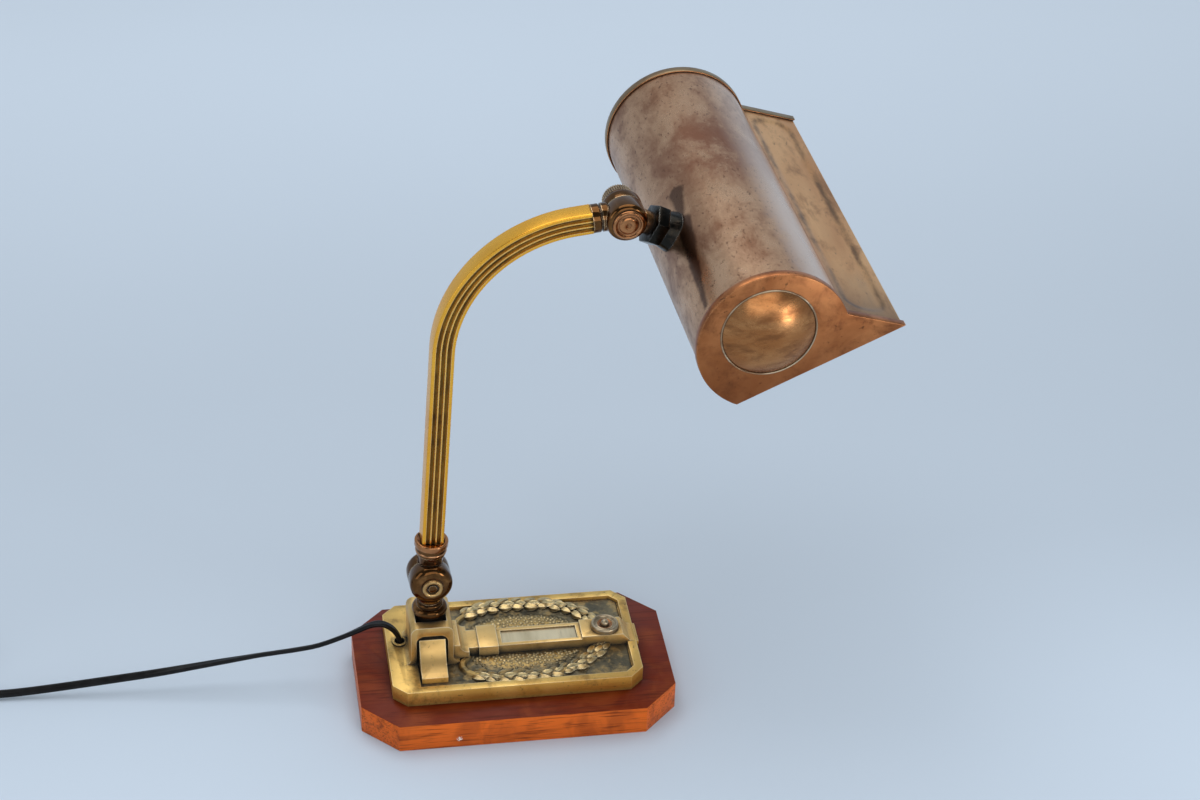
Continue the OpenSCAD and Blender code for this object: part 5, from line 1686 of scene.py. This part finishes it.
@dataclass
class Knob:
    """The thumb knob behind the upper joint, in millimetres.

    Hub and disc are a radius and a height each, ridge a half width and a length.
    """

    start: float = 9.45
    hub: Flat = (6.0, 2.0)
    disc: Flat = (9.1, 8.0)
    ridge: Flat = (0.5, 5.6)
    ridges: int = 40

    def turned(self, place: Matrix) -> None:
        """Turn the knob's hub and disc."""
        r, h = self.disc
        hub, low = self.hub
        top = low + h
        profile = [(0, 0), (hub, 0), (hub, low), (r - 0.8, low), (r, low + 0.8), (r, top - 1.6),
                   (r - 1.2, top - 0.5), (r - 3, top), (3.2, top), (2.6, top - 0.7), (0, top - 0.7)]
        form = Form().lathe(soften(profile, 0.4, steps=2), 72, place)
        form.stand("knob_turned", Body.KNOB, Slot.JOINT, Finishes.JOINT, ["knob"])

    def ridge_helper(self) -> bpy.types.Object:
        """Make one ridge along Z."""
        w, length = self.ridge
        around = ((-0.5, -w), (0.0, -w), (0.4, 0.0), (0.0, w), (-0.5, w))
        n = len(around)
        points = [(x, y, z) for z in (-length / 2, length / 2) for x, y in around]
        faces = [tuple(range(n))[::-1], tuple(range(n, 2 * n))]
        faces += [(k, (k + 1) % n, n + (k + 1) % n, n + k) for k in range(n)]
        return helper("ridge", points, (), faces)

    def knurl(self, place: Matrix) -> None:
        """Set ridges round the disc's edge."""
        tree = GeometryTree("knurl", {
            "Ridge": "Object", "Count": "Int", "Radius": "Float", "Finish": "Material"})
        given = tree.given
        ring = tree.add("GeometryNodeMeshCircle", {},
                        {"Vertices": given.of("Count"), "Radius": given.of("Radius")})
        turn = tree.facing(tree.add("GeometryNodeInputPosition"))
        tree.close(tree.add("GeometryNodeInstanceOnPoints", {}, {
            "Points": ring, "Instance": tree.shape("Ridge"), "Rotation": turn}))
        r, h = self.disc
        middle = place @ Matrix.Translation((0, 0, self.hub[1] + h / 2 - 0.2))
        mesh = tree.run(helper("host", [(0, 0, 0)]), {
            "Ridge": self.ridge_helper(), "Count": self.ridges, "Radius": r,
            "Finish": Finishes.JOINT.material()}, middle)
        piece("knob_knurl", mesh, Body.KNOB)

    def build(self) -> None:
        """Make the knob."""
        back = LAMP.across(LAMP.up_pivot) @ Matrix.Rotation(math.pi, 4, "X")
        place = back @ Matrix.Translation((0, 0, self.start))
        self.turned(place)
        self.knurl(place)


# Shade


@dataclass
class Shade:
    """The tube with its visor, its ends, its stem and the lampholder, in millimetres and degrees.

    The visor is flat. Its points are told along its slope and off the tube's axis. The fold's gaps are in
    degrees on the tube and in millimetres on the visor.
    """

    tube_r: float = 44.2
    sheet: float = 1.0
    near: float = 94.6
    far: float = -152.2
    mouth: float = -29.3
    slope: float = 42.1
    visor_n: float = 26.04
    gaps: Flat = (3.0, 2.0)
    points: tuple[int, int, int] = (84, 30, 126)
    panel_depth: float = 0.9
    panel_edge: Flat = (2.5, 9.0)
    panel_lip: float = 1.5
    panel_corner: float = 13.0
    panel_press: Flat = (0.8, 6.5)
    dome_r: float = 27.6
    dome_h: float = 9.0
    dome_y: float = 8.05
    ring: Flat = (28.1, 0.55)
    ends: Flat = (96.2, -153.8)

    @property
    def meet(self) -> float:
        """Where the visor leaves the tube, along its slope."""
        return math.sqrt(self.tube_r ** 2 - self.visor_n ** 2)

    @property
    def tip(self) -> float:
        """Where the visor ends, along its slope."""
        c, s = polar(1.0, self.slope)
        return (self.visor_n * c - self.mouth) / s

    def visor_frame(self, x: float, y: float) -> Flat:
        """Return a section point along and off the visor."""
        c, s = polar(1.0, self.slope)
        return (x * c - y * s, x * s + y * c)

    def section(self) -> list[tuple[Flat, Flat, bool]]:
        """Return the sheet's outer points with the outward way at each and whether each is on the visor."""
        c, s = polar(1.0, self.slope)
        start = 180 + math.degrees(math.asin(-self.mouth / self.tube_r))
        end = math.degrees(math.atan2(self.visor_n, self.meet)) - self.slope
        out = []
        for a in np.linspace(start, end + self.gaps[0], self.points[0]):
            way = polar(1.0, a)
            out.append(((self.tube_r * way[0], self.tube_r * way[1]), way, False))
        for a in np.linspace(self.meet + self.gaps[1], self.tip, self.points[1]):
            out.append(((a * c + self.visor_n * s, -a * s + self.visor_n * c), (s, c), True))
        return out

    def dent(self, along: float, z: float) -> float:
        """Return the pressed panel's depth at a place on the visor."""
        low, high = self.meet + self.panel_edge[0], self.tip - self.panel_edge[0] - self.panel_lip
        near, far = self.near - self.panel_edge[1], self.far + self.panel_edge[1]
        qa = abs(along - (low + high) / 2) - (high - low) / 2 + self.panel_corner
        qz = abs(z - (near + far) / 2) - (near - far) / 2 + self.panel_corner
        away = math.hypot(max(qa, 0), max(qz, 0)) + min(max(qa, qz), 0) - self.panel_corner
        start, wide = self.panel_press
        t = max(0.0, min(1.0, (start - away) / wide))
        return self.panel_depth * t * t * (3 - 2 * t)

    def shell(self) -> None:
        """Bend the sheet into the tube and the visor, with the visor's pressed panel."""
        section = self.section()
        top, under, press = [], [], []
        for z in np.linspace(self.far, self.near, self.points[2]):
            outer, inner = [], []
            for (x, y), way, visor in section:
                dent = self.dent(self.visor_frame(x, y)[0], z) if visor else 0.0
                share = dent / self.panel_depth
                press.append(4 * share * (1 - share))
                for row, deep in ((outer, dent), (inner, dent + self.sheet)):
                    row.append(Vector((x - way[0] * deep, y - way[1] * deep, z)))
            top.append(outer)
            under.append(inner)
        mesh = Form().sheet(top, under).stand("sheet", Body.SHADE, Slot.SHEET, Finishes.TUBE, ["shade_shell"],
                                              LAMP.shade(), 40.0).data
        mark(mesh, "press", press * 2)
        back = (MM @ LAMP.shade()).inverted()
        paint(mesh, [Finishes.VISOR], lambda face: self.on_visor(back @ face.center))

    def on_visor(self, at: Vector) -> int:
        """Return 1 for a place on the visor and 0 for one on the tube, in the shade's frame."""
        along, off = self.visor_frame(at.x, at.y)
        return int(along > self.meet - 0.5 and off < self.visor_n + 1)

    def domes(self) -> None:
        """Press the domes on both ends, each in its fine ring."""
        sphere = (self.dome_r ** 2 + self.dome_h ** 2) / (2 * self.dome_h)
        last = math.asin(self.dome_r / sphere)
        cap = [(sphere * math.sin(last * t), self.dome_h - sphere + sphere * math.cos(last * t))
               for t in np.linspace(1, 0.0, 25)]
        cap[-1] = (0.0, self.dome_h)
        r, h = self.ring
        bead = [(r + x, h * 0.2 + y) for x, y in (polar(h, a) for a in range(0, 360, 30))]
        turned, rings = Form(), Form()
        for z, flip in zip(self.ends, (0.0, math.pi)):
            place = Matrix.Translation((0, self.dome_y, z)) @ Matrix.Rotation(flip, 4, "Y")
            turned.lathe([(0, -0.4), (self.dome_r, -0.4), *cap], 96, place)
            rings.lathe(bead, 96, place, closed=True)
        turned.stand("domes", Body.SHADE, Slot.END, Finishes.DOME, ["end_domes"], LAMP.shade(), 50.0)
        rings.stand("dome_rings", Body.SHADE, Slot.END, Finishes.DOME_RING, place=LAMP.shade())

    def build(self) -> None:
        """Make the shade."""
        self.shell()
        self.domes()
        worn("end_near", Body.SHADE, Slot.END, Finishes.END, 0.55)
        far = worn("end_far", Body.SHADE, Slot.END, Finishes.RIM, 0.55).data
        axis = LAMP.shade().to_3x3().col[2]
        paint(far, [Finishes.END], lambda face: int(abs(face.normal.dot(axis)) > 0.9))
        worn("shade_knuckle", Body.SHADE, Slot.JOINT, Finishes.JOINT, 0.35)
        worn("stem_nut", Body.SHADE, Slot.STEEL, Finishes.NUT, 0.7)
        worn("stem_saddle", Body.SHADE, Slot.JOINT, Finishes.NUT, 0.4)
        worn("lampholder", Body.SHADE, Slot.BAKELITE, Finishes.RESIN, 0.8)
        worn("holder_ring", Body.SHADE, Slot.BAKELITE, Finishes.RESIN, 0.5)
        for node, finish in (("inner_nut", Finishes.STEEL), ("holder_bracket", Finishes.STEEL),
                             ("bulb_cap", Finishes.NICKEL), ("bulb_glass", Finishes.BULB)):
            dress(node, finish)


def main() -> None:
    """Build the lamp and its stage."""
    logging.basicConfig(level=logging.INFO, format="%(name)s %(message)s")
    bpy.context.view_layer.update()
    Studio().build()
    TwinCord().build()
    for part in (Base(), Foot(), Arm(), Knob(), Shade()):
        part.build()
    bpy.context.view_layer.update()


if __name__ == "__main__":
    main()
